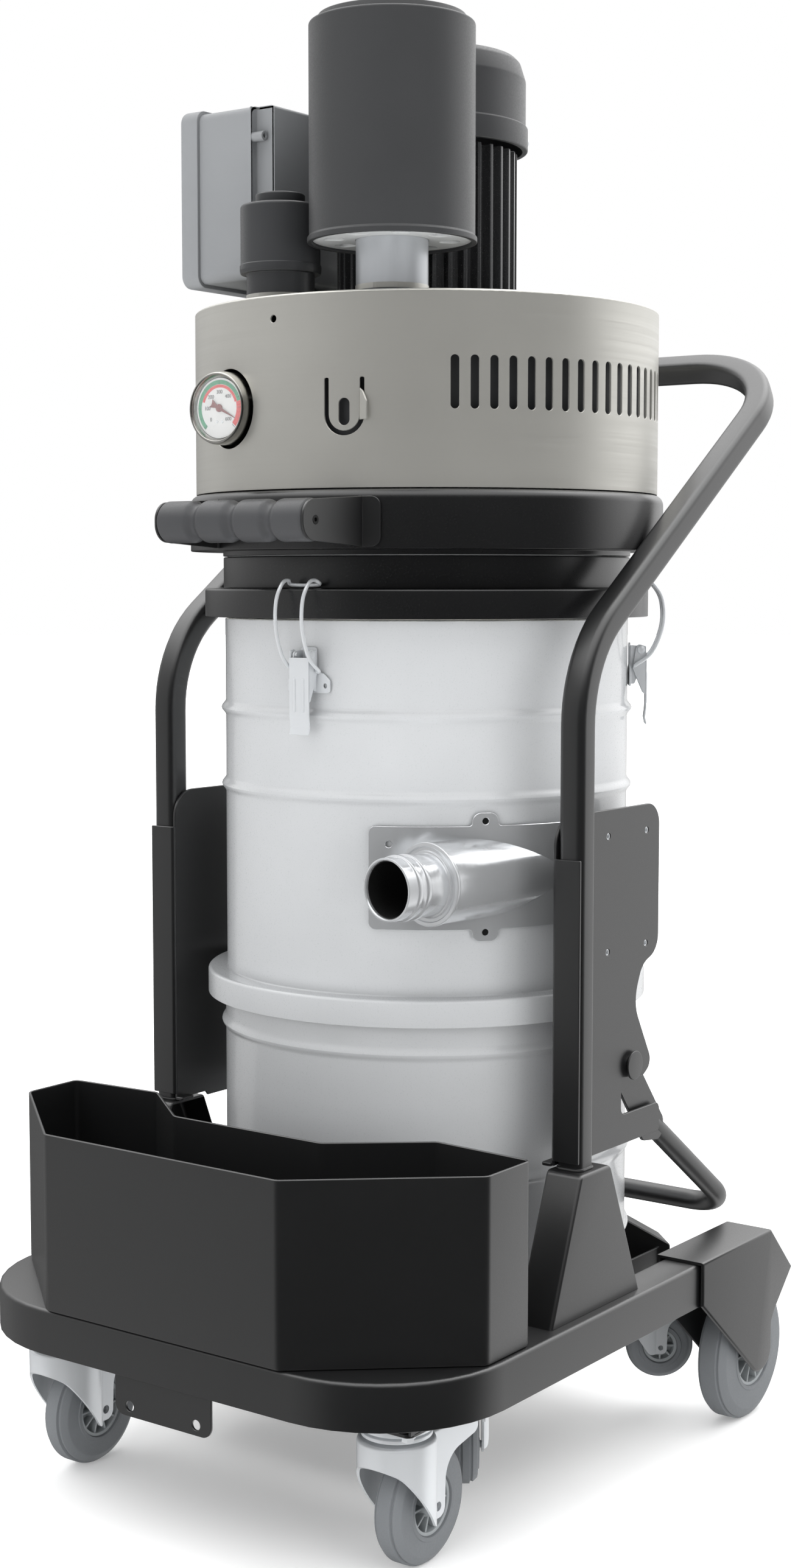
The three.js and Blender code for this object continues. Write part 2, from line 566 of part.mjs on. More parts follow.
// Fan cover: mounting ring, straight wall, cone and a grille of slots in its top.
function motorFanCover() {
  const { ringBottom, ringTop, coneZ, top } = motor;
  const shell = turned([[113.5, ringBottom], [113.5, ringTop - 2], [111, ringTop], [111, coneZ],
    [105, top - 6], [99, top], [12, top], [12, top - 3], [97, top - 3], [101.5, top - 8], [107.5, coneZ],
    [107.5, ringBottom]], 20);
  const slotsCut = Array.from({ length: 8 }, (_, i) => block([30, 88], [-4, 4], [top - 6, top + 3])
    .rotateZ(radians(i * 45)));
  return cut(shell, ...slotsCut);
}

// ---- parts on top of the head, drawn about their own axis ---------------------------------------
function silencerBody() {
  const { r, bottom, shoulder, top } = silencer;
  return turned([[0, top], [76, top], [79, shoulder], [r - 2, shoulder], [r, shoulder - 2], [r, bottom + 12],
    [r + 2, bottom + 8], [r + 2, bottom - 2], [r - 3, bottom - 2], [r - 3, shoulder - 5],
    [0, shoulder - 5]], 20);
}

// Perforated plate that closes the silencer round the pipe.
function silencerBase() {
  const { r, bottom, pipeR } = silencer;
  const plate = turned([[pipeR + gap, bottom + 1], [r - 3.5, bottom + 1], [r - 3.5, bottom + 5],
    [pipeR + gap, bottom + 5]], 20);
  const slot = outline([[53, -14], [68, -14], [68, 14], [53, 14]]);
  const openings = 6;
  const cuts = Array.from({ length: openings }, (_, i) => prism(slot, bottom - 2, bottom + 8)
    .rotateZ(radians((i * 360) / openings)));
  return cut(plate, ...cuts);
}

function exhaustPipe() {
  const { pipeR, bottom } = silencer;
  return turned([[pipeR, 1215], [pipeR, bottom + 30], [pipeR - 3, bottom + 30], [pipeR - 3, 1215]], 20);
}

function reliefValveBody() {
  const { neckR, bodyR, neckBottom, bodyBottom, bodyTop } = valve;
  return turned([[neckR, neckBottom], [neckR, bodyBottom], [bodyR, bodyBottom], [bodyR + 1, bodyBottom + 4],
    [bodyR, bodyTop - 4], [bodyR - 3, bodyTop], [12, bodyTop], [12, bodyTop - 4], [bodyR - 5, bodyTop - 4],
    [neckR - 4, bodyBottom], [neckR - 4, neckBottom]], 20);
}

// Spring-loaded cap of the relief valve with its guide stem.
function reliefValveCap() {
  const { capR, bodyTop } = valve;
  return turned([[0, 1330], [10, 1330], [10, bodyTop + gap], [capR, bodyTop + gap], [capR, bodyTop + 10],
    [capR - 2, bodyTop + 12], [0, bodyTop + 12]], 20);
}

// ---- control box --------------------------------------------------------------------------------
function controlBox() {
  const { seam, right, front, back, bottom, top } = box;
  const body = outline([[front, bottom, 10], [back, bottom, 10], [back, top, 10], [front, top, 10]], 3);
  const hollow = outline([[front + 3, bottom + 3, 8], [back - 3, bottom + 3, 8], [back - 3, top - 3, 8],
    [front + 3, top - 3, 8]], 3);
  const tub = cut(sidePrism(body, seam + gap, right), sidePrism(hollow, seam - 1, right - 3));
  const corner = [[front - 1, front + 13], [back - 13, back + 1]];
  const channels = corner.map((y) => block([right - 34, right + 1], y, [bottom + 30, top + 1]));
  const lining = corner.map((y) => block([right - 37, right - 1], y.map((v) => v + (v < 0 ? 3 : -3)),
    [bottom + 27, top - 3]));
  return cut(join(tub, ...lining), ...channels);
}

function controlBoxLid() {
  const { left, seam, front, back, bottom, top } = box;
  const edge = outline([[front - 4, bottom - 4, 14], [back + 4, bottom - 4, 14], [back + 4, top + 4, 14],
    [front - 4, top + 4, 14]], 3);
  const hollow = outline([[front + 2, bottom + 2, 8], [back - 2, bottom + 2, 8], [back - 2, top - 2, 8],
    [front + 2, top - 2, 8]], 3);
  const hub = bar('x', 8, left - 2, left + 10, [0, 1440], 16);
  return cut(sidePrism(edge, left, seam), sidePrism(hollow, left + 3, seam + 1), hub);
}

// Rotary main switch on the lid.
function switchKnob() {
  const x = box.left;
  const dial = bar('x', 24, x - 8, x - gap, [0, 1440], 24);
  const wing = block([x - 26, x - 7], [-6, 6], [1417, 1463]);
  return join(dial, wing, bar('x', 7.5, x - 1, x + 8, [0, 1440], 14));
}

// Folded stand that carries the control box above the cover.
function controlBoxBracket() {
  const [x0, x1] = [-205, -135];
  const [z0, z1] = [head.coverTop + gap, box.bottom - 4 - gap];
  const span = [-70, 70];
  const top = block([x0, x1], span, [z1 - sheet, z1]);
  const legs = [[x0, x0 + sheet], [x1 - sheet, x1]].map((x) => block(x, span, [z0, z1]));
  const feet = [[x0, x0 + 18], [x1 - 18, x1]].map((x) => block(x, span, [z0, z0 + sheet]));
  return join(top, ...legs, ...feet);
}

// ---- vacuum gauge, drawn about Z and laid to face the front ---------------------------------------
function gaugeBody() {
  const { bezelR } = gauge;
  return turned([[0, -52], [11, -52], [11, -38], [32, -36], [33, -21], [bezelR, -19], [bezelR, -2],
    [bezelR - 2, 0], [34, 0], [34, -8], [2, -8], [2, -5], [0, -5]], 16)
    .rotateX(Math.PI / 2);
}

// Needle and its boss on the gauge spindle, pointing to the high end of the scale.
function gaugeNeedle() {
  const hub = turned([[2.4, -6.8], [4.5, -6.8], [4.5, -4.4], [2.4, -4.4]], 12);
  const blade = outline([[3, -1.6], [25, -0.4], [25, 0.4], [3, 1.6]]);
  const tail = outline([[-12, -4.2], [-3.4, -1.5], [-3.4, 1.5], [-12, 4.2]]);
  const flat = [blade, tail].map((shape) => prism(shape, -6.2, -5.2));
  return join(hub, ...flat).rotateZ(radians(-27)).rotateX(Math.PI / 2);
}

// ---- carrying grip ------------------------------------------------------------------------------
function carryGrip() {
  const { r, halfLength } = grip;
  const groove = (x) => [[r, x - 9], [r - 4, x - 3], [r - 4, x + 3], [r, x + 9]];
  const profile = [[0, -halfLength], [r - 3, -halfLength], [r, -halfLength + 3], ...groove(-50), ...groove(0),
    ...groove(50), [r, halfLength - 3], [r - 3, halfLength], [0, halfLength]];
  return turned(profile, 12).rotateY(Math.PI / 2).translate(0, grip.y, grip.z);
}

// Flat arm from the grip's end to the head base, with a foot lying against the base.
function gripBracketRight() {
  const x = grip.halfLength + gap;
  const arm = outline([[grip.y - 20, grip.z - 20, 18], [-251.2, grip.z - 26], [-251.2, grip.z + 26],
    [grip.y - 20, grip.z + 20, 18]], 4);
  const strap = sidePrism(arm, x, x + sheet);
  const tip = outline([[-3, -26], [21, -26, 10], [21, 26, 10], [-3, 26]], 3);
  const foot = sidePrism(tip, 0, sheet).translate(head.baseR + gap, 0, 0);
  const azimuth = -Math.acos(x / head.baseR);
  const bolt = bar('x', 5, x + sheet - 1, x + sheet + 3, [grip.y, grip.z], 12);
  return join(strap, foot.rotateZ(azimuth).translate(0, 0, grip.z), bolt);
}

// ---- container, dolly and release lever -----------------------------------------------------------
function dustContainer() {
  const { r, bottom, top, rimR, wall } = container;
  const bead = (z) => [[r, z - 8], [r + 4, z], [r, z + 8]];
  const can = turned([[0, bottom], [r + 4, bottom], [r + 4, bottom + 3], [r, bottom + 3], ...bead(341.5),
    ...bead(482), [r, top - 3], [rimR, top - 3], [rimR, top], [r - wall, top], [r - wall, bottom + wall],
    [0, bottom + wall]], 28);
  const trunnions = [-1, 1].map((side) => {
    const span = side > 0 ? [r - 1, r + 18] : [-r - 18, 1 - r];
    return bar('x', 7, ...span, [12, 418], 10);
  });
  return join(can, ...trunnions);
}

// Sheet-metal dolly: seating ring, tray and four corner gussets over the castors.
function containerDolly() {
  const half = 214;
  const tray = (d) => {
    const w = half - d;
    return outline([[-w, -w, 46], [w, -w, 46], [w, w, 46], [-w, w, 46]], 3);
  };
  const pan = cut(prism(tray(0), 141, 200), prism(tray(sheet), 144, 201));
  const seatTop = container.bottom - gap;
  const seat = turned([[212, 143], [227, 143], [227, seatTop], [212, seatTop]], 32);
  const gusset = [[190, 143], [292, 143], [292, 202], [232, 238], [190, 238]];
  const wedges = [45, 135, 225, 315].map((a) => {
    const shape = gusset.map(([r, z]) => new THREE.Vector2(r, z));
    const fin = prism(shape, -24, 24).rotateX(Math.PI / 2);
    const trimmed = cut(fin, bar('z', 220, 100, 300, [0, 0], 24));
    return trimmed.rotateZ(radians(a));
  });
  return join(pan, seat, ...wedges);
}

// Bent release tube welded to a link plate on each side; the plates turn on the pivot pins.
function releaseLever() {
  const { armX, tubeR, crossY, crossZ, cornerR, topY, topZ } = lever;
  const leg = (side) => [[side * armX, topY, topZ], [side * armX, crossY, crossZ, cornerR]];
  const tubeBody = swept(roundSection(tubeR, 8), bent([...leg(1), ...leg(-1).reverse()], 4));
  const link = outline([[pivot.y - 17, pivot.z + 4, 15], [pivot.y - 16, pivot.z - 22, 12], [58, 358, 10],
    [100, 352, 12], [104, 376, 12], [pivot.y + 20, pivot.z + 6, 16], [pivot.y + 2, pivot.z + 18, 14]], 2);
  const hole = bar('x', pivot.r + gap, -270, 270, [pivot.y, pivot.z], 16);
  const links = [254.6, -258.6].map((x) => sidePrism(link, x, x + 4));
  return cut(join(tubeBody, ...links), hole);
}

// ---- assembly -----------------------------------------------------------------------------------
const machine = new THREE.Group();

function add(name, geometry, material, place = [0, 0, 0], turnZ = 0) {
  const mesh = new THREE.Mesh(closed(geometry), material());
  mesh.name = name;
  mesh.position.set(...place);
  mesh.rotation.z = radians(turnZ);
  machine.add(mesh);
}

// A right-hand piece and its mirror image on the left.
function addPair(name, geometry, material) {
  add(`${name}_right`, geometry, material);
  add(`${name}_left`, mirrored(geometry), material);
}

add('base_deck', baseDeck(), look.black);
addPair('tower', towerRight(), look.black);
add('push_handle', pushHandle(), look.black);
addPair('side_plate', sidePlateRight(), look.black);
addPair('wheel_hood', wheelHoodRight(), look.black);
add('accessory_basket', accessoryBasket(), look.black);

for (const [name, side] of [['right', 1], ['left', -1]]) {
  const front = [side * frontWheel.x, frontWheel.y, frontWheel.r];
  const rear = [side * rearWheel.x, rearWheel.y, rearWheel.r];
  const forkTop = castorPad.bottom - gap - frontWheel.r;
  add(`front_castor_fork_${name}`, castorFork(frontWheel, forkTop, 3), look.zinc, front);
  add(`front_wheel_${name}`, wheel(frontWheel, 20), look.wheelGrey, front);
  add(`rear_wheel_${name}`, wheel(rearWheel, 20), look.wheelGrey, rear);
}

add('filter_chamber', filterChamber(), look.white);
add('inlet_port', inletPort(), look.zinc);
add('filter_cartridge', filterCartridge(), look.filter);
latch.angles.forEach((angle, i) => {
  add(`latch_base_${i + 1}`, latchBase(), look.zinc, [0, 0, 0], angle);
  add(`latch_lever_${i + 1}`, latchLever(), look.zinc, [0, 0, 0], angle);
  add(`latch_bail_${i + 1}`, latchBail(), look.zinc, [0, 0, 0], angle);
});

add('clamp_ring', clampRing(), look.black);
add('upper_ring', upperRing(), look.black);
add('head_base', headBase(), look.black);
add('head_cover', headCover(), look.stainless);
add('blower_housing', blowerHousing(), look.castBlack);
add('blower_rotor', blowerRotor(), look.zinc);
add('motor_body', motorBody(), look.castBlack);
add('motor_fan_cover', motorFanCover(), look.graphite);
add('silencer_body', silencerBody(), look.graphite, [silencer.x, silencer.y, 0]);
add('silencer_base', silencerBase(), look.greyPlastic, [silencer.x, silencer.y, 0]);
add('exhaust_pipe', exhaustPipe(), look.zinc, [silencer.x, silencer.y, 0]);
add('relief_valve_body', reliefValveBody(), look.castBlack, [valve.x, valve.y, 0]);
add('relief_valve_cap', reliefValveCap(), look.castBlack, [valve.x, valve.y, 0]);
add('control_box', controlBox(), look.greyPlastic);
add('control_box_lid', controlBoxLid(), look.greyPlastic);
add('switch_knob', switchKnob(), look.castBlack);
add('control_box_bracket', controlBoxBracket(), look.black);
add('gauge_body', gaugeBody(), look.dial, [gauge.x, gauge.face, gauge.z]);
add('gauge_needle', gaugeNeedle(), look.red, [gauge.x, gauge.face, gauge.z]);
add('carry_grip', carryGrip(), look.graphite);
addPair('grip_bracket', gripBracketRight(), look.black);

add('dust_container', dustContainer(), look.white);
add('container_dolly', containerDolly(), look.black);
add('release_lever', releaseLever(), look.black);
// Each castor of the dolly stands swivelled its own way, turned from trailing backwards.
const dollyCorners = [['front_right', 1, -1, -144], ['rear_right', 1, 1, -54], ['front_left', -1, -1, 24],
  ['rear_left', -1, 1, 62]];
for (const [name, sx, sy, turn] of dollyCorners) {
  const { r, trail, lift } = dollyWheel;
  const offset = new THREE.Vector2(0, trail).rotateAround(new THREE.Vector2(), radians(turn));
  const place = [sx * dollyCastor.x + offset.x, sy * dollyCastor.y + offset.y, lift + r];
  const forkTop = dollyCastor.top - place[2];
  add(`dolly_fork_${name}`, castorFork(dollyWheel, forkTop, 2.5), look.zinc, place, turn);
  add(`dolly_wheel_${name}`, wheel(dollyWheel, 12), look.wheelGrey, place, turn);
}

// The row's origin is under the middle of the machine's footprint box, at floor level.
const bounds = new THREE.Box3().setFromObject(machine);
machine.position.y = -(bounds.min.y + bounds.max.y) / 2;

export default machine;
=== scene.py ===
"""Looks of the mobile industrial dust collector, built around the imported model.

Shapes are drawn in millimetres about the drum's axis: +Z up, -Y the front, +X the machine's right.
piece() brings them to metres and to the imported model's frame.
"""
from math import acos, atan2, ceil, cos, degrees, pi, radians, sin, sqrt, tan

import bmesh
import bpy
from mathutils import Matrix, Vector
from mathutils.geometry import tessellate_polygon


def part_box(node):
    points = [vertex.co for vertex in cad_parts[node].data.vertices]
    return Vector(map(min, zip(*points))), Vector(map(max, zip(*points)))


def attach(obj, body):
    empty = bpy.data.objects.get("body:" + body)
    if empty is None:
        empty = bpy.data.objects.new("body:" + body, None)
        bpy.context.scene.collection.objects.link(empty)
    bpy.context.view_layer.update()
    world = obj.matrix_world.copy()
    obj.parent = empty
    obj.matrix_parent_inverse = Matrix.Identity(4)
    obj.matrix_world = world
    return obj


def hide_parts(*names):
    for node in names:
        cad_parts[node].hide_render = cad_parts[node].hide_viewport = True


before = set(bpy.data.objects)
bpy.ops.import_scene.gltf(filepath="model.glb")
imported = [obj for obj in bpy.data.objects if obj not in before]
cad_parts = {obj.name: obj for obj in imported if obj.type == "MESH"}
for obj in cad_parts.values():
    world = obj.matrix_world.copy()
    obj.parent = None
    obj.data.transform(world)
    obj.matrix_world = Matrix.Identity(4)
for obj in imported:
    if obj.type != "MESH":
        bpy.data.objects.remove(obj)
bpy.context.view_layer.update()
scene = bpy.context.scene

drum_low, drum_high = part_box("filter_chamber")
AXIS_Y = (drum_low.y + drum_high.y) / 2
PLACE = Matrix.Translation((0, AXIS_Y, 0)) @ Matrix.Scale(0.001, 4)
SIDES = (("right", 1), ("left", -1))

# ---- driving dimensions ---------------------------------------------------------------------------
SHEET = 3  # folded steel sheet
DRUM_R = 230  # filter chamber outside radius
DRUM = dict(low=544, high=943.6, wall=3, skirt_r=252, skirt_low=514.5, beads=(755, 842))
DECK = dict(half=319, front=-465, corner=151, bottom=171.5, top=220, rail_end=140)
NOTCH = dict(half=273, front=-246, corner=40)
TOW_PLATE = dict(half=65, low=129, corner=12, thick=3, hole=(45, 140, 5.5))
TUBE = dict(size=30, x=281.5, y=-125, corner=8)
HANDLE = dict(foot=369.6, slope=35, rise=906.3, bar_y=355, side_r=140, corner_r=130)
TOWER = dict(inner=262, outer=306, top=369.2, foot=(-208, -30), head=(-151, -91))
HOOD = dict(inner=266, outer=325)
BASKET = dict(wall=2.5, low=220.3, rim=410)
PLATE_X = 265.7  # outer face of a side plate
PLATE_T = 3.5
PIVOT = (17, 453)  # release lever's pins, y and z
PIVOT_R = 7.9
LEVER = dict(arm_x=248, r=12, cross_y=288, cross_z=229.5)
CONTAINER = dict(r=232, low=243, top=536, rim=246, wall=2.5, beads=(341.5, 482))
HEAD = dict(base_r=268.5, bottom=1018, base_top=1080.7, cover_r=261.7, top=1283)
RING = dict(r=252.6, low=945, high=977, upper_r=231.5, upper=1011.6)
COOLING_SLOTS = dict(first=-48.2, step=4.55, count=26, width=9, low=1161, high=1216)
HOSE_HOOK = dict(azimuth=-73.6, arm=19.5, slit=2.5, bottom=1137, top=1193)
INLET = dict(z=671, angle=-98, offset=190, pipe=33, bore=30, bulge=43, mouth=260, collar=200)
INLET_PLATE = dict(gap=2.2, thick=2.8, azimuths=(-69.7, -39, -12), low=616.5, high=727,
                   bores=(613.5, 732))
MOTOR = dict(r=101.5, root=89, fins=36, low=1200.3, ring_low=1465, ring_high=1490, cone=1541, top=1566)
SILENCER = dict(x=86.7, y=-184.4, r=86.8, low=1338, shoulder=1560, top=1567, pipe=38)
VALVE = dict(x=-59.7, y=-188.7, neck=36.8, r=43.2, cap=26.8, low=1314.5, high=1388)
BOX = dict(left=-242, seam=-216, right=-117, front=-141, back=139, low=1322, high=1512, well=24)
GAUGE = dict(x=-84, z=1168.7, bezel=39, face=-270, hole=42.5, dial=32, reading=-27)
GRIP = dict(y=-331, z=1046, r=22, half=96)
FRONT_WHEEL = dict(r=62.5, width=36, x=227, y=-330, trail=38, top=159.7)
REAR_WHEEL = dict(r=80, width=40, x=295.5, y=226)
DOLLY_WHEEL = dict(r=40, width=28, trail=22, lift=35, x=184, y=186, top=140.5)
DOLLY_TURNS = (("front_right", 1, -1, -144), ("rear_right", 1, 1, -54), ("front_left", -1, -1, 24),
               ("rear_left", -1, 1, 62))
LATCH = dict(angles=(-87, 33, 153), pivot_r=245, pivot_z=907, face_top=904, bail_r=239, bail_z=890)
SKY = dict(faint=0.03, right=1.1, left=0.4, behind=0.8, above=1.7)  # radiance of the studio's parts
FILLS = (("fill_front", (0.3, -3.4, 1.2), 2.0, 46), ("fill_right", (3.2, -0.9, 1.2), 2.0, 33))
CAMERA = dict(lens=52.21, sensor=36, place=(1.5171, -2.1321, 0.9839), tilt=84.92, turn=36.21)


# ---- outlines and paths ---------------------------------------------------------------------------
def rounded(corners, closed=True, step=9):
    """Points of an outline through (x, y, radius) corners; a chord turns by about `step` degrees."""
    points = []
    for i, corner in enumerate(corners):
        here = Vector(corner[:2])
        radius = corner[2] if len(corner) > 2 else 0
        if not radius or (not closed and i in (0, len(corners) - 1)):
            points.append(here)
            continue
        back = (Vector(corners[i - 1][:2]) - here).normalized()
        on = (Vector(corners[(i + 1) % len(corners)][:2]) - here).normalized()
        half = back.angle(on) / 2
        centre = here + (back + on).normalized() * (radius / sin(half))
        start = here + back * (radius / tan(half)) - centre
        turn = (pi - 2 * half) * (1 if back.cross(on) < 0 else -1)
        count = max(2, ceil(abs(degrees(turn)) / step))
        for k in range(count + 1):
            points.append(centre + Matrix.Rotation(turn * k / count, 2) @ start)
    return points


def inset(corners, d):
    """Corners of a counter-clockwise outline moved inwards by d, each keeping its arc."""
    result = []
    for i, corner in enumerate(corners):
        here = Vector(corner[:2])
        into = (here - Vector(corners[i - 1][:2])).normalized()
        out = (Vector(corners[(i + 1) % len(corners)][:2]) - here).normalized()
        normals = Vector((-into.y, into.x)) + Vector((-out.y, out.x))
        here += normals * (d / (normals.length_squared / 2))
        radius = corner[2] if len(corner) > 2 else 0
        if radius:
            radius = max(radius - d if into.cross(out) > 0 else radius + d, 0.2)
        result.append((here.x, here.y, radius))
    return result


def rectangle(x, y, radius=0):
    return [(x[0], y[0], radius), (x[1], y[0], radius), (x[1], y[1], radius), (x[0], y[1], radius)]


def circle(radius, centre=(0, 0), count=24):
    turns = [2 * pi * i / count for i in range(count)]
    return [Vector((centre[0] + radius * cos(a), centre[1] + radius * sin(a))) for a in turns]


def bent(corners, step=6):
    """Stations of a path with straight runs and round bends; corners are (x, y, z, bend radius)."""
    points = []
    for i, corner in enumerate(corners):
        here = Vector(corner[:3])
        if len(corner) < 4:
            points.append(here)
            continue
        back = (Vector(corners[i - 1][:3]) - here).normalized()
        on = (Vector(corners[i + 1][:3]) - here).normalized()
        half = back.angle(on) / 2
        centre = here + (back + on).normalized() * (corner[3] / sin(half))
        start = here + back * (corner[3] / tan(half)) - centre
        turn = pi - 2 * half
        count = max(3, ceil(degrees(turn) / step))
        for k in range(count + 1):
            points.append(centre + Matrix.Rotation(turn * k / count, 3, on.cross(back)) @ start)
    return points


def flowing(points, count=6):
    """A smooth path that passes through every point."""
    points = [Vector(p) for p in points]
    ends = [2 * points[0] - points[1], *points, 2 * points[-1] - points[-2]]
    path = []
    for a, b, c, d in zip(ends, ends[1:], ends[2:], ends[3:]):
        for k in range(count):
            t = k / count
            path.append(0.5 * (2 * b + (c - a) * t + (2 * a - 5 * b + 4 * c - d) * t**2
                               + (3 * b - a - 3 * c + d) * t**3))
    return [*path, points[-1]]


def eased(z, radius, inwards=0, up=True):
    """(inset, height) stations that round an edge off below z, or above z where up is False."""
    turns = [radians(a) for a in (0, 30, 60, 90)]
    way = 1 if up else -1
    stations = [(inwards + radius * (1 - cos(a)), z - way * radius * (1 - sin(a))) for a in turns]
    return stations if up else stations[::-1]


# ---- solids ---------------------------------------------------------------------------------------
ALONG_X = Matrix(((0, 0, 1, 0), (1, 0, 0, 0), (0, 1, 0, 0), (0, 0, 0, 1)))  # outline in YZ, depth along X
FACING_FRONT = Matrix.Rotation(pi / 2, 4, "X")  # outline in XZ, depth towards -Y


def at(x=0, y=0, z=0):
    return Matrix.Translation((x, y, z))


def turned_by(angle, axis="Z"):
    return Matrix.Rotation(radians(angle), 4, axis)


def placed(bm, *matrices):
    for matrix in matrices:
        bm.transform(matrix)
    return bm


def skin(bm, loops, caps=True, closed=False):
    """Joins equal loops of points by faces, and closes the first and the last."""
    rings = [[bm.verts.new(p) for p in loop] for loop in loops]
    pairs = list(zip(rings, rings[1:]))
    if closed:
        pairs.append((rings[-1], rings[0]))
    for low, high in pairs:
        for i, corner in enumerate(low):
            bm.faces.new((low[i - 1], corner, high[i], high[i - 1]))
    if caps and not closed:
        bm.faces.new(rings[0][::-1])
        bm.faces.new(rings[-1])
    return bm


def layered(corners, stations, matrix=None):
    """Solid of one outline repeated at (inset, height) stations."""
    loops = [[(*p, z) for p in rounded(inset(corners, d))] for d, z in stations]
    bm = skin(bmesh.new(), loops)
    return placed(bm, matrix) if matrix else bm


def slab(x, y, z, radius=0, edge=0.6):
    stations = [(edge, z[0]), (0, z[0] + edge), (0, z[1] - edge), (edge, z[1])]
    return layered(rectangle(x, y, radius), stations)


def turned(profile, segments=96, matrix=None):
    """Body of revolution about Z from (radius, height, fillet) corners, from axis to axis or closed."""
    closed = profile[0][0] > 0
    turns = [2 * pi * i / segments for i in range(segments)]
    points = rounded(profile, closed, step=15)
    loops = [[(p.x * cos(a), p.x * sin(a), p.y) for a in turns] for p in points]
    bm = skin(bmesh.new(), loops, caps=False, closed=closed)
    bmesh.ops.remove_doubles(bm, verts=bm.verts, dist=1e-3)
    return placed(bm, matrix) if matrix else bm


def rod(r, low, high, segments=24, matrix=None, bore=0):
    return turned([(bore, low), (r, low), (r, high), (bore, high)], segments, matrix)


def plate(outlines, thickness, matrix=None, edge=0.4):
    """Sheet from an outline and its holes, between z = 0 and its thickness, with eased edges."""
    bm = bmesh.new()
    rims = ([], [])
    for i, points in enumerate(outlines):
        area = sum(a.cross(b) for a, b in zip(points, points[1:] + points[:1]))
        ring = points if (area > 0) == (i == 0) else points[::-1]
        small = []
        for k, here in enumerate(ring):
            into = (here - ring[k - 1]).normalized()
            out = (ring[(k + 1) % len(ring)] - here).normalized()
            normals = Vector((-into.y, into.x)) + Vector((-out.y, out.x))
            small.append(here + normals * (edge / max(normals.length_squared / 2, 0.5)))
        levels = ((small, 0), (ring, edge), (ring, thickness - edge), (small, thickness))
        loops = [[bm.verts.new((*p, z)) for p in points] for points, z in levels]
        for low, high in zip(loops, loops[1:]):
            for k, corner in enumerate(low):
                bm.faces.new((low[k - 1], corner, high[k], high[k - 1]))
        rims[0].append(loops[0])
        rims[1].append(loops[-1])
    for rim in rims:
        corners = [v for loop in rim for v in loop]
        for triangle in tessellate_polygon([[v.co for v in loop] for loop in rim]):
            bm.faces.new([corners[k] for k in triangle])
    return placed(bm, matrix) if matrix else bm


def wrapped(bm, radius, step):
    """Bends a flat sheet round the drum's axis: x runs along the rim, y up, and z outwards."""
    xs = [v.co.x for v in bm.verts]
    low, high = min(xs), max(xs)
    count = ceil((high - low) / (radians(step) * radius))
    for k in range(1, count):
        everything = [*bm.verts, *bm.edges, *bm.faces]
        cut = Vector((low + (high - low) * k / count, 0, 0))
        bmesh.ops.bisect_plane(bm, geom=everything, plane_co=cut, plane_no=(1, 0, 0))
    for v in bm.verts:
        a, r = v.co.x / radius, radius + v.co.z
        v.co = Vector((r * cos(a), r * sin(a), v.co.y))
    return bm


def swept(section, path, side):
    """Sweeps an outline along a path; `side` is the direction of the outline's x at the start."""
    points = [Vector(p) for p in path]
    normal = Vector(side)
    before = (points[1] - points[0]).normalized()
    loops = []
    for i, here in enumerate(points):
        into = (here - points[max(i - 1, 0)]).normalized()
        out = (points[min(i + 1, len(points) - 1)] - here).normalized()
        tangent = (into + out).normalized()
        normal = before.rotation_difference(tangent) @ normal
        other = tangent.cross(normal)
        loops.append([here + normal * p[0] + other * p[1] for p in section])
        before = tangent
    return skin(bmesh.new(), loops)


def joined(*parts):
    """Several solids as one mesh."""
    whole = bmesh.new()
    for part in parts:
        mesh = bpy.data.meshes.new("part")
        bmesh.ops.recalc_face_normals(part, faces=part.faces)
        part.to_mesh(mesh)
        part.free()
        whole.from_mesh(mesh)
        bpy.data.meshes.remove(mesh)
    return whole


def carved(body, *tools, way="DIFFERENCE"):
    """Body with the tools cut out of it."""
    things = []
    for bm in (body, *tools):
        mesh = bpy.data.meshes.new("carving")
        bmesh.ops.recalc_face_normals(bm, faces=bm.faces)
        bm.to_mesh(mesh)
        bm.free()
        thing = bpy.data.objects.new("carving", mesh)
        scene.collection.objects.link(thing)
        things.append(thing)
    for tool in things[1:]:
        modifier = things[0].modifiers.new("cut", "BOOLEAN")
        modifier.object = tool
        modifier.operation = way
        modifier.solver = "EXACT"
    ready = things[0].evaluated_get(bpy.context.evaluated_depsgraph_get())
    result = bmesh.new()
    result.from_mesh(ready.to_mesh())
    ready.to_mesh_clear()
    for thing in things:
        bpy.data.meshes.remove(thing.data)
    return result


def mirrored(bm, side):
    if side < 0:
        bm.transform(Matrix.Scale(-1, 4, (1, 0, 0)))
    return bm


def hex_bolt(r, height, washer=0):
    """Hexagon head standing on z = 0, with a washer under it."""
    corners = [(r * cos(radians(a)), r * sin(radians(a))) for a in range(0, 360, 60)]
    head = layered(corners, [(0, 0), (0, height - 0.1 * r), (0.1 * r, height)])
    if not washer:
        return head
    rim = turned([(0, -0.2), (washer, -0.2), (washer, 1.6, 0.5), (0, 1.6)], 24)
    return joined(placed(head, at(z=1.4)), rim)


def cross_screw(r, height):
    """Pan head with a cross recess, standing on z = 0."""
    head = turned([(0, 0), (r, 0), (r, height * 0.4, 0.3 * r), (0.5 * r, height), (0, height)], 24)
    arms = [slab((-w, w), (-v, v), (height * 0.45, height + 2), edge=0.05)
            for w, v in ((0.13 * r, 0.6 * r), (0.6 * r, 0.13 * r))]
    return carved(head, *arms)

# ---- materials ------------------------------------------------------------------------------------
def feed(tree, node, inputs):
    """Sets each input of a node to a value, or links it to the socket that feeds it."""
    for name, value in inputs.items():
        if isinstance(value, bpy.types.NodeSocket):
            tree.links.new(value, node.inputs[name])
        else:
            node.inputs[name].default_value = value


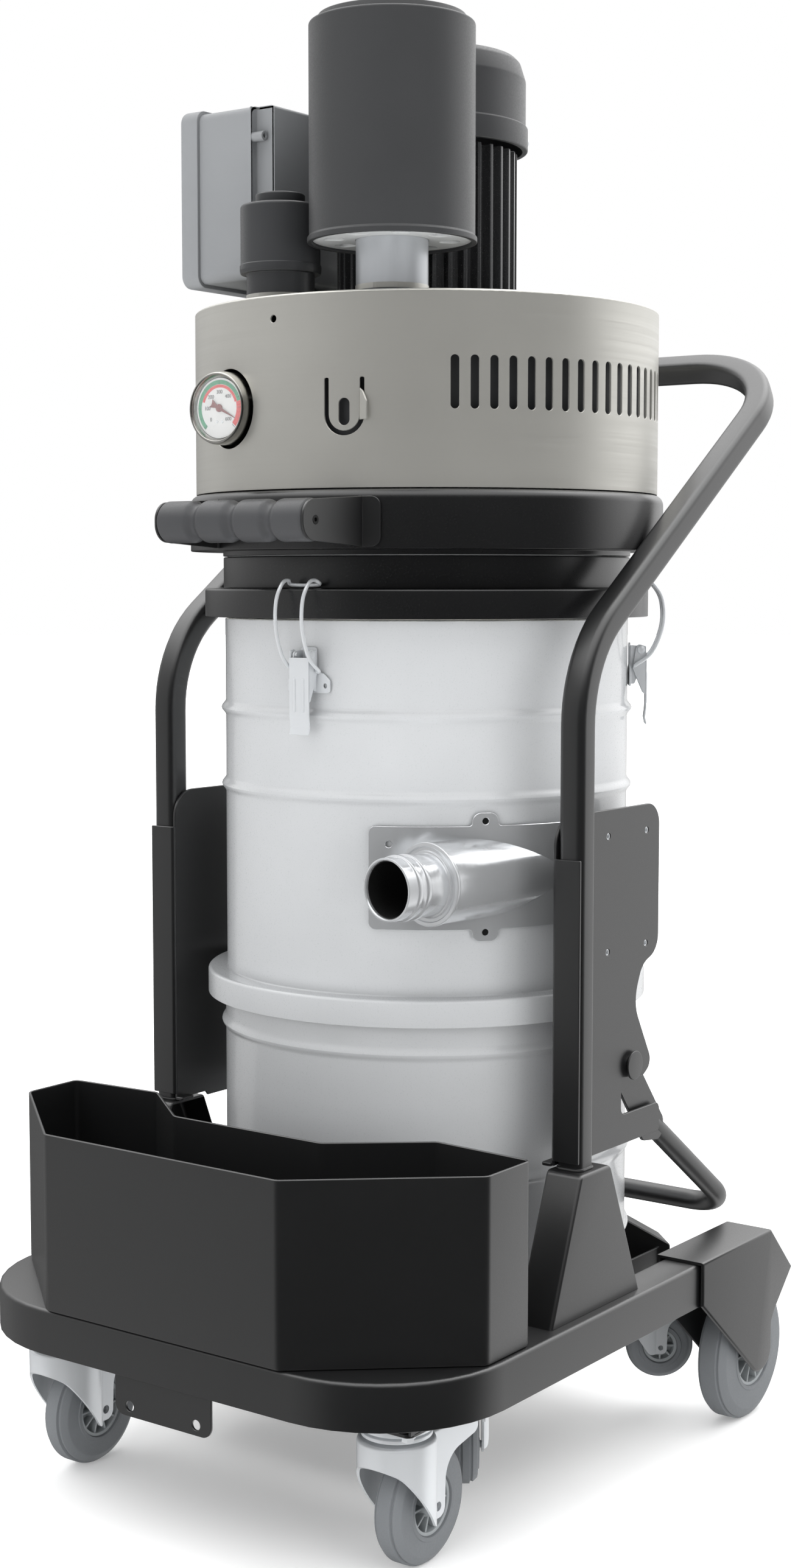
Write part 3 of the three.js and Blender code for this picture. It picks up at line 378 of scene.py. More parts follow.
def add_node(tree, kind, output, inputs, **settings):
    node = tree.nodes.new("ShaderNode" + kind)
    for name, value in settings.items():
        setattr(node, name, value)
    feed(tree, node, inputs)
    return node.outputs[output]


def noise(tree, scale, detail):
    place = add_node(tree, "TexCoord", "Object", {})
    scaled = add_node(tree, "Mapping", "Vector", {"Vector": place, "Scale": scale})
    return add_node(tree, "TexNoise", "Fac", {"Vector": scaled, "Scale": 1.0, "Detail": detail})


def spanned(tree, source, low, high, start=0.3, end=0.7):
    """Brings a value that runs from start to end to the span from low to high."""
    span = {"Value": source, "From Min": start, "From Max": end, "To Min": low, "To Max": high}
    return add_node(tree, "MapRange", "Result", span)


def mixed(tree, factor, a, b):
    """Mix of two colours, each a socket or a plain colour."""
    a, b = (c if isinstance(c, bpy.types.NodeSocket) else (*c, 1) for c in (a, b))
    return add_node(tree, "Mix", 2, {0: factor, 6: a, 7: b}, data_type="RGBA")


def edge_wear(tree, amount):
    """How light a point is made by wear and painted highlight: most on an edge, none on a flat face."""
    soft = add_node(tree, "Bevel", "Normal", {"Radius": 0.0012}, samples=4)
    true = add_node(tree, "NewGeometry", "Normal", {})
    facing = add_node(tree, "VectorMath", "Value", {0: soft, 1: true}, operation="DOT_PRODUCT")
    return spanned(tree, facing, amount, 0, 0.72, 0.98)


def surface(name, colour, rough, metallic=0.0, vary=0.05, grain=500, depth=0.1, spread=0.06,
            edge=0.0, edge_colour=None, radial=False, **sockets):
    """Procedural finish: cloudy colour, fine grain in height and roughness, and edges lightened by wear
    and painted highlight.
    """
    material = bpy.data.materials.new(name)
    material.use_nodes = True
    tree = material.node_tree
    speck = noise(tree, grain if isinstance(grain, tuple) else (grain,) * 3, 3)
    cloud = spanned(tree, noise(tree, (9, 9, 9), 5), 0, 1)
    tint = mixed(tree, cloud, [c * (1 - vary) for c in colour], [c * (1 + vary) for c in colour])
    if edge:
        wear_and_highlight_colour = edge_colour or [min(1, c * 3 + 0.05) for c in colour]
        tint = mixed(tree, edge_wear(tree, edge), tint, wear_and_highlight_colour)
    bump = add_node(tree, "Bump", "Normal", {"Strength": depth, "Distance": 0.0005, "Height": speck})
    finish = {"Base Color": tint, "Roughness": spanned(tree, speck, rough - spread, rough + spread),
              "Normal": bump, "Metallic": metallic}
    if radial:
        finish["Tangent"] = add_node(tree, "Tangent", "Tangent", {}, direction_type="RADIAL", axis="Z")
    for socket, value in sockets.items():
        finish[socket.replace("_", " ")] = value
    feed(tree, tree.nodes["Principled BSDF"], finish)
    return material


POWDER = dict(grain=1100, spread=0.05, edge=0.3, IOR=1.6, Specular_IOR_Level=0.85)
SATIN = dict(grain=900, depth=0.012, spread=0.03, edge=0.15, IOR=1.55, Specular_IOR_Level=0.8)
ENAMEL = dict(vary=0.02, grain=700, depth=0.03, spread=0.04, edge=0.15, edge_colour=(0.7, 0.7, 0.7),
              Coat_Weight=0.6, Coat_Roughness=0.08)
PLATED = dict(grain=900, depth=0.004, spread=0.015)
LOOKS = {
    "frame_black": surface("powder_coat", (0.0065, 0.0067, 0.0071), 0.36, **POWDER),
    "head_black": surface("satin_enamel", (0.0055, 0.0056, 0.006), 0.3, **SATIN),
    "drum_white": surface("gloss_enamel", (0.43, 0.44, 0.45), 0.3, **ENAMEL),
    # Container enamel: the drum's white made lighter, painted light that offsets the shade the container
    # sits in under the drum.
    "container_white_lightened": surface("container_enamel_lightened", (0.475, 0.485, 0.495), 0.3, **ENAMEL),
    "stainless": surface("brushed_stainless", (0.58, 0.572, 0.535), 0.34, 0.76, vary=0.03,
                         grain=(3, 3, 420), depth=0.07, spread=0.05, radial=True, Anisotropic=0.7),
    "zinc": surface("bright_zinc", (0.66, 0.68, 0.70), 0.34, 0.45, vary=0.03, **PLATED),
    "pipe_zinc": surface("dull_zinc", (0.42, 0.435, 0.455), 0.34, 0.5, **PLATED),
    "spout_zinc": surface("hammered_zinc", (0.70, 0.715, 0.73), 0.2, 0.72, vary=0.04,
                          grain=(260, 260, 40), spread=0.04),
    "wheel_grey": surface("grey_rubber", (0.16, 0.17, 0.18), 0.62, vary=0.06, grain=420, depth=0.15,
                          spread=0.07),
    "hub_grey": surface("hub_plastic", (0.30, 0.32, 0.33), 0.5, vary=0.04, grain=700, depth=0.08),
    "filter_cloth": surface("needle_felt", (0.75, 0.74, 0.69), 0.9, grain=700, depth=0.6),
    # edge=0.5 lightens the fins' edges strongly: partly wear, partly a painted highlight along each fin.
    "motor_black": surface("cast_black", (0.028, 0.0285, 0.03), 0.22, grain=600, depth=0.02, edge=0.5,
                           IOR=1.6, Specular_IOR_Level=0.8),
    "rotor_metal": surface("machined_alloy", (0.6, 0.61, 0.62), 0.32, 1.0, grain=(30, 30, 800)),
    "fan_cover_grey": surface("fan_cover_enamel", (0.033, 0.034, 0.036), 0.42, edge=0.25),
    "silencer_grey": surface("silencer_enamel", (0.031, 0.032, 0.0335), 0.45, grain=650, edge=0.2),
    "silencer_plate_grey": surface("light_plastic", (0.45, 0.46, 0.46), 0.5, grain=600),
    "valve_black": surface("black_moulding", (0.03, 0.031, 0.033), 0.38, grain=600, edge=0.2),
    "box_grey": surface("box_plastic", (0.23, 0.238, 0.247), 0.5, vary=0.03, grain=900, depth=0.14,
                        edge=0.2, edge_colour=(0.36, 0.37, 0.38)),
    "knob_black": surface("knob_plastic", (0.015, 0.015, 0.016), 0.4, grain=700),
    "gauge_case": surface("polished_stainless", (0.52, 0.51, 0.48), 0.22, 1.0, vary=0.02, grain=300,
                          depth=0.03, spread=0.05),
    "dial_white": surface("dial_enamel", (0.5, 0.5, 0.495), 0.55, vary=0.004, grain=900, depth=0.002),
    "dial_green": surface("dial_green", (0.02, 0.21, 0.1), 0.45, vary=0.02),
    "dial_red": surface("dial_red", (0.46, 0.03, 0.03), 0.45, vary=0.02),
    "dial_ink": surface("dial_ink", (0.02, 0.02, 0.022), 0.5, vary=0.02),
    "needle_red": surface("needle_lacquer", (0.13, 0.02, 0.02), 0.35),
    "grip_black": surface("grip_plastic", (0.045, 0.046, 0.049), 0.42, grain=650, depth=0.12),
    # Near-black: painted shade in the spout's bore and the lug holes; also the grip's screws.
    "shadow_black": surface("bore_shade_black", (0.006, 0.006, 0.006), 0.6),
    "seal_grey": surface("seal_rubber", (0.36, 0.37, 0.37), 0.6),
    "lens": surface("acrylic", (0.9, 0.92, 0.92), 0.08, vary=0.005, spread=0.02, depth=0.01, Alpha=0.08),
}


def radial_normals(mesh):
    """Makes a curved wall shade as a true cylinder about the drum's axis, free of facets."""
    normals = []
    smooth = [n.vector.copy() for n in mesh.corner_normals]
    for polygon in mesh.polygons:
        upright = Vector((polygon.normal.x, polygon.normal.y, 0)).length > 0.95
        for k in polygon.loop_indices:
            out = mesh.vertices[mesh.loops[k].vertex_index].co.copy()
            out.z = 0
            out.normalize()
            side = out.dot(polygon.normal)
            along_wall = upright and abs(side) > 0.97
            normals.append(out * (1 if side > 0 else -1) if along_wall else smooth[k])
    mesh.normals_split_custom_set(normals)


def piece(name, bm, look, body="machine_frame", stands_for=None, sharp=32, radial=False):
    """Makes the visible piece: smooth faces with sharp edges, its finish, and the body it rides on."""
    bmesh.ops.recalc_face_normals(bm, faces=bm.faces)
    mesh = bpy.data.meshes.new(name)
    bm.to_mesh(mesh)
    bm.free()
    mesh.polygons.foreach_set("use_smooth", [True] * len(mesh.polygons))
    mesh.set_sharp_from_angle(angle=radians(sharp))
    if radial:
        radial_normals(mesh)
    mesh.transform(PLACE)
    mesh.materials.append(LOOKS[look])
    thing = bpy.data.objects.new(name, mesh)
    scene.collection.objects.link(thing)
    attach(thing, body)
    if stands_for:
        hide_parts(stands_for)


# ---- trolley --------------------------------------------------------------------------------------
def deck():
    half, front, back = DECK["half"], DECK["front"], DECK["rail_end"]
    low, high = DECK["bottom"], DECK["top"]
    wide, inner = NOTCH["half"], NOTCH["front"]
    corners = [(-half, front, DECK["corner"]), (half, front, DECK["corner"]), (half, back, 2),
               (wide, back, 2), (wide, inner, NOTCH["corner"]), (-wide, inner, NOTCH["corner"]),
               (-wide, back, 2), (-half, back, 2)]
    stations = [(SHEET, high - SHEET), (SHEET, low + 0.5), (SHEET - 0.5, low), (0.5, low),
                (0, low + 0.5), *eased(high, 4.5)]
    piece("deck_sheet", layered(corners, stations), "frame_black", stands_for="base_deck")


def tow_plate():
    """Drilled plate under the front skirt, on a hanger set back behind it."""
    half, low, corner, thick = (TOW_PLATE[k] for k in ("half", "low", "corner", "thick"))
    hole_x, hole_z, hole_r = TOW_PLATE["hole"]
    front, skirt = DECK["front"], DECK["bottom"]
    edge = [(-half, low, corner), (half, low, corner), (half, skirt - 0.3), (-half, skirt - 0.3)]
    holes = [circle(hole_r, (x, hole_z)) for x in (-hole_x, hole_x)]
    sheet = plate([rounded(edge), *holes], thick, at(y=front + 7) @ FACING_FRONT)
    hanger = slab((-half, half), (front + 5, front + 7), (skirt - 2, DECK["top"] - 4))
    piece("tow_plate", joined(sheet, hanger), "frame_black")


def castor_mounts():
    """Bolted mounting plate between two upright webs over each front castor."""
    half_x, half_y, low = 45, 40, FRONT_WHEEL["top"] + 0.3
    pads = []
    bolts = []
    for _, side in SIDES:
        x, y = side * FRONT_WHEEL["x"], FRONT_WHEEL["y"] - FRONT_WHEEL["trail"]
        pads.append(slab((x - half_x, x + half_x), (y - half_y, y + half_y), (low, low + 4), 8))
        for web in (x - half_x + 1.5, x + half_x - 1.5):
            pads.append(slab((web - 1.5, web + 1.5), (y - 38, y + 38), (low + 2, DECK["top"] - SHEET)))
        for dx in (-36, 36):
            for dy in (-31, 31):
                bolts.append(placed(hex_bolt(6.5, 5, 8), turned_by(180, "X"), at(x + dx, y + dy, low)))
    piece("castor_mount_plates", joined(*pads), "frame_black")
    piece("castor_mount_bolts", joined(*bolts), "zinc")


def tower(name, side):
    """Folded tower: a tapered sheet-metal box, open towards the drum, under each handle leg."""
    def ring(z, d=0.0, open_side=0.0):
        share = (z - DECK["top"]) / (TOWER["top"] - DECK["top"])
        y0, y1 = (a + (b - a) * share for a, b in zip(TOWER["foot"], TOWER["head"]))
        corners = rectangle((TOWER["inner"] - open_side, TOWER["outer"] - d), (y0 + d, y1 - d), 4)
        return [(*p, z) for p in rounded(corners)]

    low, high = DECK["top"] + 0.3, TOWER["top"]
    outside = skin(bmesh.new(), [ring(low), *[ring(z, d) for d, z in eased(high, 4)]])
    inside = skin(bmesh.new(), [ring(low - 2, SHEET, 5), ring(high - SHEET, SHEET, 5)])
    piece(f"tower_{name}_sheet", mirrored(carved(outside, inside), side), "frame_black",
          stands_for=f"tower_{name}")


def push_handle():
    """One bent square tube with welded feet on the towers."""
    x, y, foot = TUBE["x"], TUBE["y"], HANDLE["foot"]
    rise, bar_y = HANDLE["rise"], HANDLE["bar_y"]
    bar_z = rise + (bar_y - y) * tan(radians(HANDLE["slope"]))
    right, left = ([(side * x, y, foot), (side * x, y, rise, HANDLE["side_r"]),
                    (side * x, bar_y, bar_z, HANDLE["corner_r"])] for _, side in SIDES)
    h = TUBE["size"] / 2
    outline = rectangle((-h, h), (-h, h), TUBE["corner"])
    tube = swept(rounded(outline, step=15), bent([*right, *left[::-1]], step=5), (1, 0, 0))
    piece("handle_tube", tube, "frame_black", stands_for="push_handle")
    welds = []
    for _, side in SIDES:
        path = [Vector((side * x + p.x, y + p.y, foot + 1)) for p in rounded(outline)]
        welds.append(swept(circle(1.8, count=8), [*path, path[0]], (0, 0, 1)))
    piece("handle_welds", joined(*welds), "frame_black")


def side_plate(name, side):
    """Drilled plate beside the drum: a flange folded to the tower, threads and the lever's pivot."""
    inner = PLATE_X - PLATE_T
    low, high = 367, 740
    front = -140.3
    edge = [(front, 372), (-88, 372), (-84, low), (81, low, 4), (81, 400, 8), (-3.3, 400, 8),
            (-3.3, 442, 4), (44, 436, 8), (64, 448, 14), (22, 522, 40), (40, 562, 30), (75, 574, 26),
            (75, high, 24), (front, high, 32)]
    bores = [(y, z) for y in (-34.6, 47) for z in (711, 585)]
    holes = [circle(3.6, c, 16) for c in bores]
    sheet = plate([rounded(edge), *holes], PLATE_T, at(x=inner) @ ALONG_X, 0.6)
    fold = [(inner + 0.1, -120), (inner + 0.1, -143.5, 5), (296.5, -143.5, 0.8), (296.5, -140.2, 0.8),
            (PLATE_X - 0.1, -140.2, 1.8), (PLATE_X - 0.1, -120)]
    flange = layered(fold, [(0.5, 378), (0, 378.5), (0, 696.5), (0.5, 697)])
    foot = slab((251, inner + 1), (-143.5, -122), (371.5, 375), 3)
    piece(f"side_plate_{name}_sheet", mirrored(joined(sheet, flange, foot), side), "frame_black",
          stands_for=f"side_plate_{name}")
    threads = [rod(3.5, -4, 2.6, 20, at(inner, *c) @ ALONG_X, bore=2.5) for c in bores]
    pin = at(inner, *PIVOT) @ ALONG_X
    shank = turned([(0, -10), (PIVOT_R, -10), (PIVOT_R, 4), (10.5, 4), (10.5, 6.9), (0, 6.9)], 32, pin)
    piece(f"side_plate_{name}_inserts", mirrored(joined(shank, *threads), side), "zinc")
    head = turned([(0, 6.8), (16, 6.8, 0.8), (16, 9.5, 1), (0, 9.5)], 40, pin)
    piece(f"pivot_head_{name}", mirrored(head, side), "frame_black")


def wheel_hood(name, side):
    """Folded hood with the fixed axle of a rear wheel."""
    inner, outer = HOOD["inner"], HOOD["outer"]
    front, high = 80, 223.4
    corners = [(front, 173), (221, 52, 27), (251, 70, 21), (251, 111, 6), (259.5, 124, 8), (303, 166, 3),
               (248, high, 4), (front, high)]
    solid = layered(corners, [(0, inner), *eased(outer, 3.5)], ALONG_X)
    room = [(70, 40), (310, 40), (310, 166), (299, 166), (246.7, 220.3), (70, 220.3)]
    hollow = layered(room, [(0, inner + SHEET), (0, outer - SHEET)], ALONG_X)
    piece(f"wheel_hood_{name}_sheet", mirrored(carved(solid, hollow), side), "frame_black",
          stands_for=f"wheel_hood_{name}")
    nut = placed(hex_bolt(8, 3.5), turned_by(180, "X"), at(z=inner), ALONG_X)
    shaft = joined(rod(6, inner + 1, outer - 1, 24, ALONG_X), nut)
    centre = at(y=REAR_WHEEL["y"], z=REAR_WHEEL["r"])
    piece(f"rear_axle_{name}", mirrored(placed(shaft, centre), side), "zinc")


def accessory_basket():
    wall, low, rim = BASKET["wall"], BASKET["low"], BASKET["rim"]
    half = [(156, -468, 12), (313, -335, 12), (313, -258, 8), (193, -250, 12), (100, -325, 14)]
    corners = [*half, *[(-x, y, radius) for x, y, radius in half[::-1]]]
    corners = corners[-1:] + corners[:-1]
    stations = [(wall + 1, low + wall), (wall, low + wall + 1), (wall, rim - 0.8), (wall - 0.8, rim),
                (0.8, rim), (0, rim - 0.8), (0, low + 3), (0.9, low + 0.9), (3, low)]
    piece("basket_sheet", layered(corners, stations), "frame_black", stands_for="accessory_basket")


# ---- wheels and castors -----------------------------------------------------------------------------
def wheel(node, place, size, ribs=10):
    """Grooved rubber tyre on a ribbed plastic hub, drawn about X."""
    r, w = size["r"], size["width"] / 2
    rim = 0.5 * r
    side = [(rim, w - 2), (rim + 1, w, 0.6), (rim + 5, w), (rim + 5.6, w - 1, 0.3), (0.84 * r, w - 1.6, 5),
            (r - 1.8, w - 7, 1.2), (r - 2.8, w - 8.2), (r - 2.8, w - 9.4), (r, w - 10.2, 0.5)]
    profile = side + [(c[0], -c[1], *c[2:]) for c in side[::-1]]
    piece(f"{node}_tyre", turned(profile, 72, place @ ALONG_X), "wheel_grey", node, node)
    bore = 6.3 * r / FRONT_WHEEL["r"]
    half = [(bore, w + 1), (bore * 1.75, w + 1, 1), (bore * 2.3, w * 0.3, 3), (rim - 5, w * 0.2, 2),
            (rim - 3.5, w - 2.5, 1), (rim - 0.1, w - 2.5)]
    hub = turned(half + [(a[0], -a[1], *a[2:]) for a in half[::-1]], 48)
    spokes = []
    for k in range(ribs):
        for way in (1, -1):
            depth = sorted((way * w * 0.2, way * (w - 3.5)))
            rib = slab((bore * 1.8, rim - 3), (-1.2, 1.2), depth, edge=0.5)
            spokes.append(placed(rib, turned_by(360 * k / ribs)))
    piece(f"{node}_hub", placed(joined(hub, *spokes), place @ ALONG_X), "hub_grey", node)


def fork_bell(trail, radius, half, back, low, high, fold=0):
    """Round head about the swivel axis with a straight channel running back from it."""
    head = turned([(0, low), (radius, low), (radius, high, fold), (0, high)], 64, at(y=-trail))
    channel = layered(rectangle((-half, half), (-trail, back)), [(0, low), *eased(high, fold or 0.1)])
    return carved(head, channel, way="UNION")


def fork_pressing(s, trail, inside, thick, bridge):
    """Bell-shaped pressing whose legs are raked to the axle and arched over the tyre."""
    outside, tip, foot = inside + thick, 70 * s, -14 * s
    shell = fork_bell(trail, 40 * s, outside, tip, foot, bridge + thick, 4 * s)
    room = fork_bell(trail, 40 * s - thick, inside, tip + 20, foot - 2, bridge)
    side = [(-82 * s, bridge - 17 * s), (-66 * s, bridge - 28 * s, 34 * s), (-21 * s, -12 * s, 13 * s),
            (11 * s, -12 * s, 10.5 * s), (13 * s, bridge - 30 * s, 30 * s),
            (tip + 0.5, bridge - 19 * s, 9 * s), (tip + 0.5, bridge + 3 * s, 3 * s),
            (tip - 3, bridge + 20), (-82 * s, bridge + 20)]
    silhouette = layered(side, [(0, -outside - 20), (0, outside + 20)], ALONG_X)
    bore = rod(4.8 * s, -outside - 9, outside + 9, 24, ALONG_X)
    return carved(carved(carved(shell, room), silhouette, way="INTERSECT"), bore)


def castor_fork(node, body, place, size, top):
    """Pressed fork with its swivel race and axle sleeve, drawn about the axle."""
    s = size["r"] / FRONT_WHEEL["r"]
    inside, thick = size["width"] / 2 + 3, 3 * max(s, 0.8)
    bridge = top - 20 * s
    low = bridge + thick
    race = [(0, low - 1), (27 * s, low - 1), (30 * s, low + 3 * s, 1.5 * s), (36 * s, low + 3 * s, 1),
            (36 * s, low + 7 * s, 1), (32 * s, low + 8 * s), (32 * s, low + 9.5 * s),
            (37 * s, low + 10 * s, 1), (37 * s, top - 0.3, 1), (0, top - 0.3)]
    fork = joined(fork_pressing(s, size["trail"], inside, thick, bridge),
                  turned(race, 48, at(y=-size["trail"])),
                  rod(6.2 * s, -inside, inside, 24, ALONG_X, bore=4.4 * s))
    piece(f"{node}_pressing", placed(fork, place), "zinc", body, node)


def castors():
    """Front castors and fixed rear wheels of the trolley, then the four castors of the dolly."""
    for name, side in SIDES:
        height = FRONT_WHEEL["r"]
        place = at(side * FRONT_WHEEL["x"], FRONT_WHEEL["y"], height)
        wheel(f"front_wheel_{name}", place, FRONT_WHEEL)
        castor_fork(f"front_castor_fork_{name}", f"front_swivel_{name}", place, FRONT_WHEEL,
                    FRONT_WHEEL["top"] - height)
        place = at(side * REAR_WHEEL["x"], REAR_WHEEL["y"], REAR_WHEEL["r"])
        wheel(f"rear_wheel_{name}", place, REAR_WHEEL)
    for name, x_side, y_side, turn in DOLLY_TURNS:
        height = DOLLY_WHEEL["lift"] + DOLLY_WHEEL["r"]
        swivel = at(x_side * DOLLY_WHEEL["x"], y_side * DOLLY_WHEEL["y"], height) @ turned_by(turn)
        place = swivel @ at(y=DOLLY_WHEEL["trail"])
        wheel(f"dolly_wheel_{name}", place, DOLLY_WHEEL, 8)
        castor_fork(f"dolly_fork_{name}", f"dolly_swivel_{name}", place, DOLLY_WHEEL,
                    DOLLY_WHEEL["top"] - height)


# ---- drum -----------------------------------------------------------------------------------------
def bead(r, z, height, half=9):
    """Rolled stiffening bead in a wall of radius r."""
    shares = [-1 + k / 4 for k in range(9)]
    return [(r + height * (1 + cos(pi * t)) / 2, z + half * t) for t in shares]


def inlet_frame():
    a = radians(INLET["angle"])
    out = radians(INLET["angle"] + 90)
    start = Vector((INLET["offset"] * cos(out), INLET["offset"] * sin(out), INLET["z"]))
    along = Vector((cos(a), sin(a), 0))
    return Matrix.Translation(start) @ along.to_track_quat("Z", "Y").to_matrix().to_4x4()


def filter_chamber():
    low, high, wall = DRUM["low"], DRUM["high"], DRUM["wall"]
    skirt_r, skirt_low = DRUM["skirt_r"], DRUM["skirt_low"]
    beads = [p for z in DRUM["beads"] for p in bead(DRUM_R, z, 5)]
    profile = [(DRUM_R, low, 2), *beads, (DRUM_R, high - 1, 0.8), (DRUM_R - wall, high),
               (DRUM_R - wall, low - wall, 2), (skirt_r - wall, low - wall, 2),
               (skirt_r - wall, skirt_low), (skirt_r, skirt_low, 0.8), (skirt_r, low, 4)]
    mouth = rod(34, 0, 260, 48, inlet_frame())
    piece("chamber_wall", carved(turned(profile, 144), mouth), "drum_white", stands_for="filter_chamber")
    seam = slab((-2, 2), (-0.6, 0.6), (550, 940), edge=0.3)
    piece("chamber_seam", placed(seam, at(y=DRUM_R)), "drum_white")


def inlet_plate():
    """Plate curved round the drum, with a bolting lug above and below the spout."""
    r = DRUM_R + INLET_PLATE["gap"]
    left, lug, right = (radians(a) * r for a in INLET_PLATE["azimuths"])
    low, high = INLET_PLATE["low"], INLET_PLATE["high"]
    edge = [(left, low, 8), (lug - 15, low, 3.5), (lug - 13, low - 12.5, 8.5), (lug + 13, low - 12.5, 8.5),
            (lug + 15, low, 3.5), (right, low, 8), (right, high, 8), (lug + 15, high, 3.5),
            (lug + 13, high + 14, 9.5), (lug - 13, high + 14, 9.5), (lug - 15, high, 3.5), (left, high, 8)]
    lug_bores = [(lug, z) for z in INLET_PLATE["bores"]]
    holes = [circle(3.6, c, 20) for c in (*lug_bores, (radians(-64.3) * r, 708))]
    sheet = plate([rounded(edge), *holes], INLET_PLATE["thick"], edge=0.5)
    piece("inlet_plate", wrapped(sheet, r, 2.5), "spout_zinc", sharp=25)
    threads = []
    for u, z in lug_bores:
        a = u / r
        outwards = Matrix.Rotation(a, 4, "Z") @ turned_by(90, "Y")
        threads.append(placed(rod(4.6, -2, 1.4), outwards, at((r - 1) * cos(a), (r - 1) * sin(a), z)))
    # Near-black plugs in the lugs' threaded holes: painted shade for the holes' depth.
    piece("inlet_lug_thread_shade", joined(*threads), "shadow_black")


def inlet_spout():
    """Tangential spout: a wide barrel cut to the drum, a rolled collar and a beaded hose pipe."""
    pipe, bore, bulge = INLET["pipe"], INLET["bore"], INLET["bulge"]
    collar, mouth = INLET["collar"], INLET["mouth"]
    profile = [(bore, -12), (bulge, -12), (bulge, collar - 6), (bulge + 1.3, collar - 4.5, 1),
               (bulge + 1.3, collar - 0.5, 1.2), (bulge - 3, collar, 0.8), (bulge - 4, collar - 1.5, 0.6),
               (pipe + 2.5, collar - 1.5, 0.6), (pipe + 2, collar + 0.5, 0.6), (pipe, collar + 1, 0.5)]
    for d in (33, 20):
        profile += [(pipe, mouth - d, 0.5), (pipe + 1.8, mouth - d + 0.8, 0.6),
                    (pipe + 1.8, mouth - d + 5.2, 0.6), (pipe, mouth - d + 6, 0.5)]
    profile += [(pipe, mouth - 0.6, 0.5), (bore + 1, mouth, 0.5), (bore, mouth - 1.5)]
    drum = rod(DRUM_R + INLET_PLATE["gap"], 500, 800, 144)
    spout = carved(turned(profile, 96, inlet_frame()), drum)
    piece("inlet_spout", spout, "spout_zinc", stands_for="inlet_port")
    # Near-black sleeve just inside the bore: painted shade that darkens the spout's inside.
    inner_skin = rod(bore - 0.1, 20, mouth - 4, 64, inlet_frame(), bore=bore - 1)
    piece("inlet_bore_shade", inner_skin, "shadow_black")


# ---- latches, drawn at azimuth 0: X is the radius and Y runs along the rim --------------------------
def latch_base(number, round_drum):
    """Wall plate with two riveted ears that carry the lever's pivot."""
    r, z = LATCH["pivot_r"], LATCH["pivot_z"]
    edge = [(-27, 866, 4), (27, 866, 4), (27, 880, 4), (19, 887, 2), (10, 890, 2), (10, 915, 3),
            (-10, 915, 3), (-10, 890, 2), (-19, 887, 2), (-27, 880, 4)]
    holes = [circle(2.6, (side * 21, 874), 16) for side in (1, -1)]
    back = plate([rounded(edge), *holes], 2, at(x=231.2) @ ALONG_X)
    ear = [(231.6, 868, 2), (238, 868, 3), (246.5, 895, 3), (249.3, 904, 4), (248.7, 911, 4.5),
           (236.5, 911.5, 2), (231.6, 911.5, 0.5)]
    ears = [plate([rounded(ear)], 2, at(y=side * 9 + 1) @ FACING_FRONT) for side in (1, -1)]
    shank = [(0, -3.6), (2.6, -3.6), (2.6, 3.2), (4.4, 3.2), (4.4, 4.2, 0.8), (2, 5.4, 1), (0, 5.4)]
    rivets = [turned(shank, 20, at(r, side * 9.3, z) @ turned_by(-90 * side, "X")) for side in (1, -1)]
    node = f"latch_base_{number}"
    piece(f"{node}_pressing", placed(joined(back, *ears, *rivets), round_drum), "zinc", stands_for=node)


def latch_lever(number, round_drum):
    """Pressed lever: a ribbed strip with a curled tip between two cheeks."""
    r, z, high = LATCH["pivot_r"], LATCH["pivot_z"], LATCH["face_top"]
    cheek = [(r - 9.5, 886, 2), (r + 3, 857, 2), (r + 6, 857), (r + 6, 911), (r - 5, 914, 6)]
    cheeks = [plate([rounded(cheek), circle(3, (r, z), 16)], 1.6, at(y=side * 11.8 + 0.8) @ FACING_FRONT)
              for side in (1, -1)]
    face = [(r + 5, high, 0.5), (r + 5, 842, 6), (r + 3.5, 830, 4), (r + 5.4, 821.5, 1),
            (r + 7, 822.5, 0.6), (r + 5.2, 830, 3), (r + 6.6, 842, 7), (r + 6.6, high, 0.5)]
    strip = layered(face, [(0.2, -12.6), (0, -12.3), (0, 12.3), (0.2, 12.6)], FACING_FRONT)
    outside = at(x=r + 6.6) @ ALONG_X
    ribs = [layered(rectangle((side * 5.6 - 1.7, side * 5.6 + 1.7), (846, 882), 1.65),
                    [(0, -0.4), (0, 0.3), (0.6, 0.9), (1.2, 1.1)], outside) for side in (1, -1)]
    node = f"latch_lever_{number}"
    piece(f"{node}_pressing", placed(joined(strip, *cheeks, *ribs), round_drum), "zinc", node, node)


def latch_bail(number, round_drum):
    """Bowed wire loop from the lever up over the clamp ring's edge."""
    x, z, half, foot = LATCH["bail_r"], LATCH["bail_z"], 17, 13.2
    bow = [(0, 0), (18.5, 15), (30, 45), (29, 74), (18, 92), (7, 95.5), (0, 90.8)]
    up = [(x, foot, z), *[(x + a, half, z + b) for a, b in bow]]
    down = [(a, -y, b) for a, y, b in up[::-1]]
    wire = swept(circle(2.1, count=12), flowing([*up, *down], 7), (0, 0, 1))
    node = f"latch_bail_{number}"
    piece(f"{node}_wire", placed(wire, round_drum), "zinc", node, node)


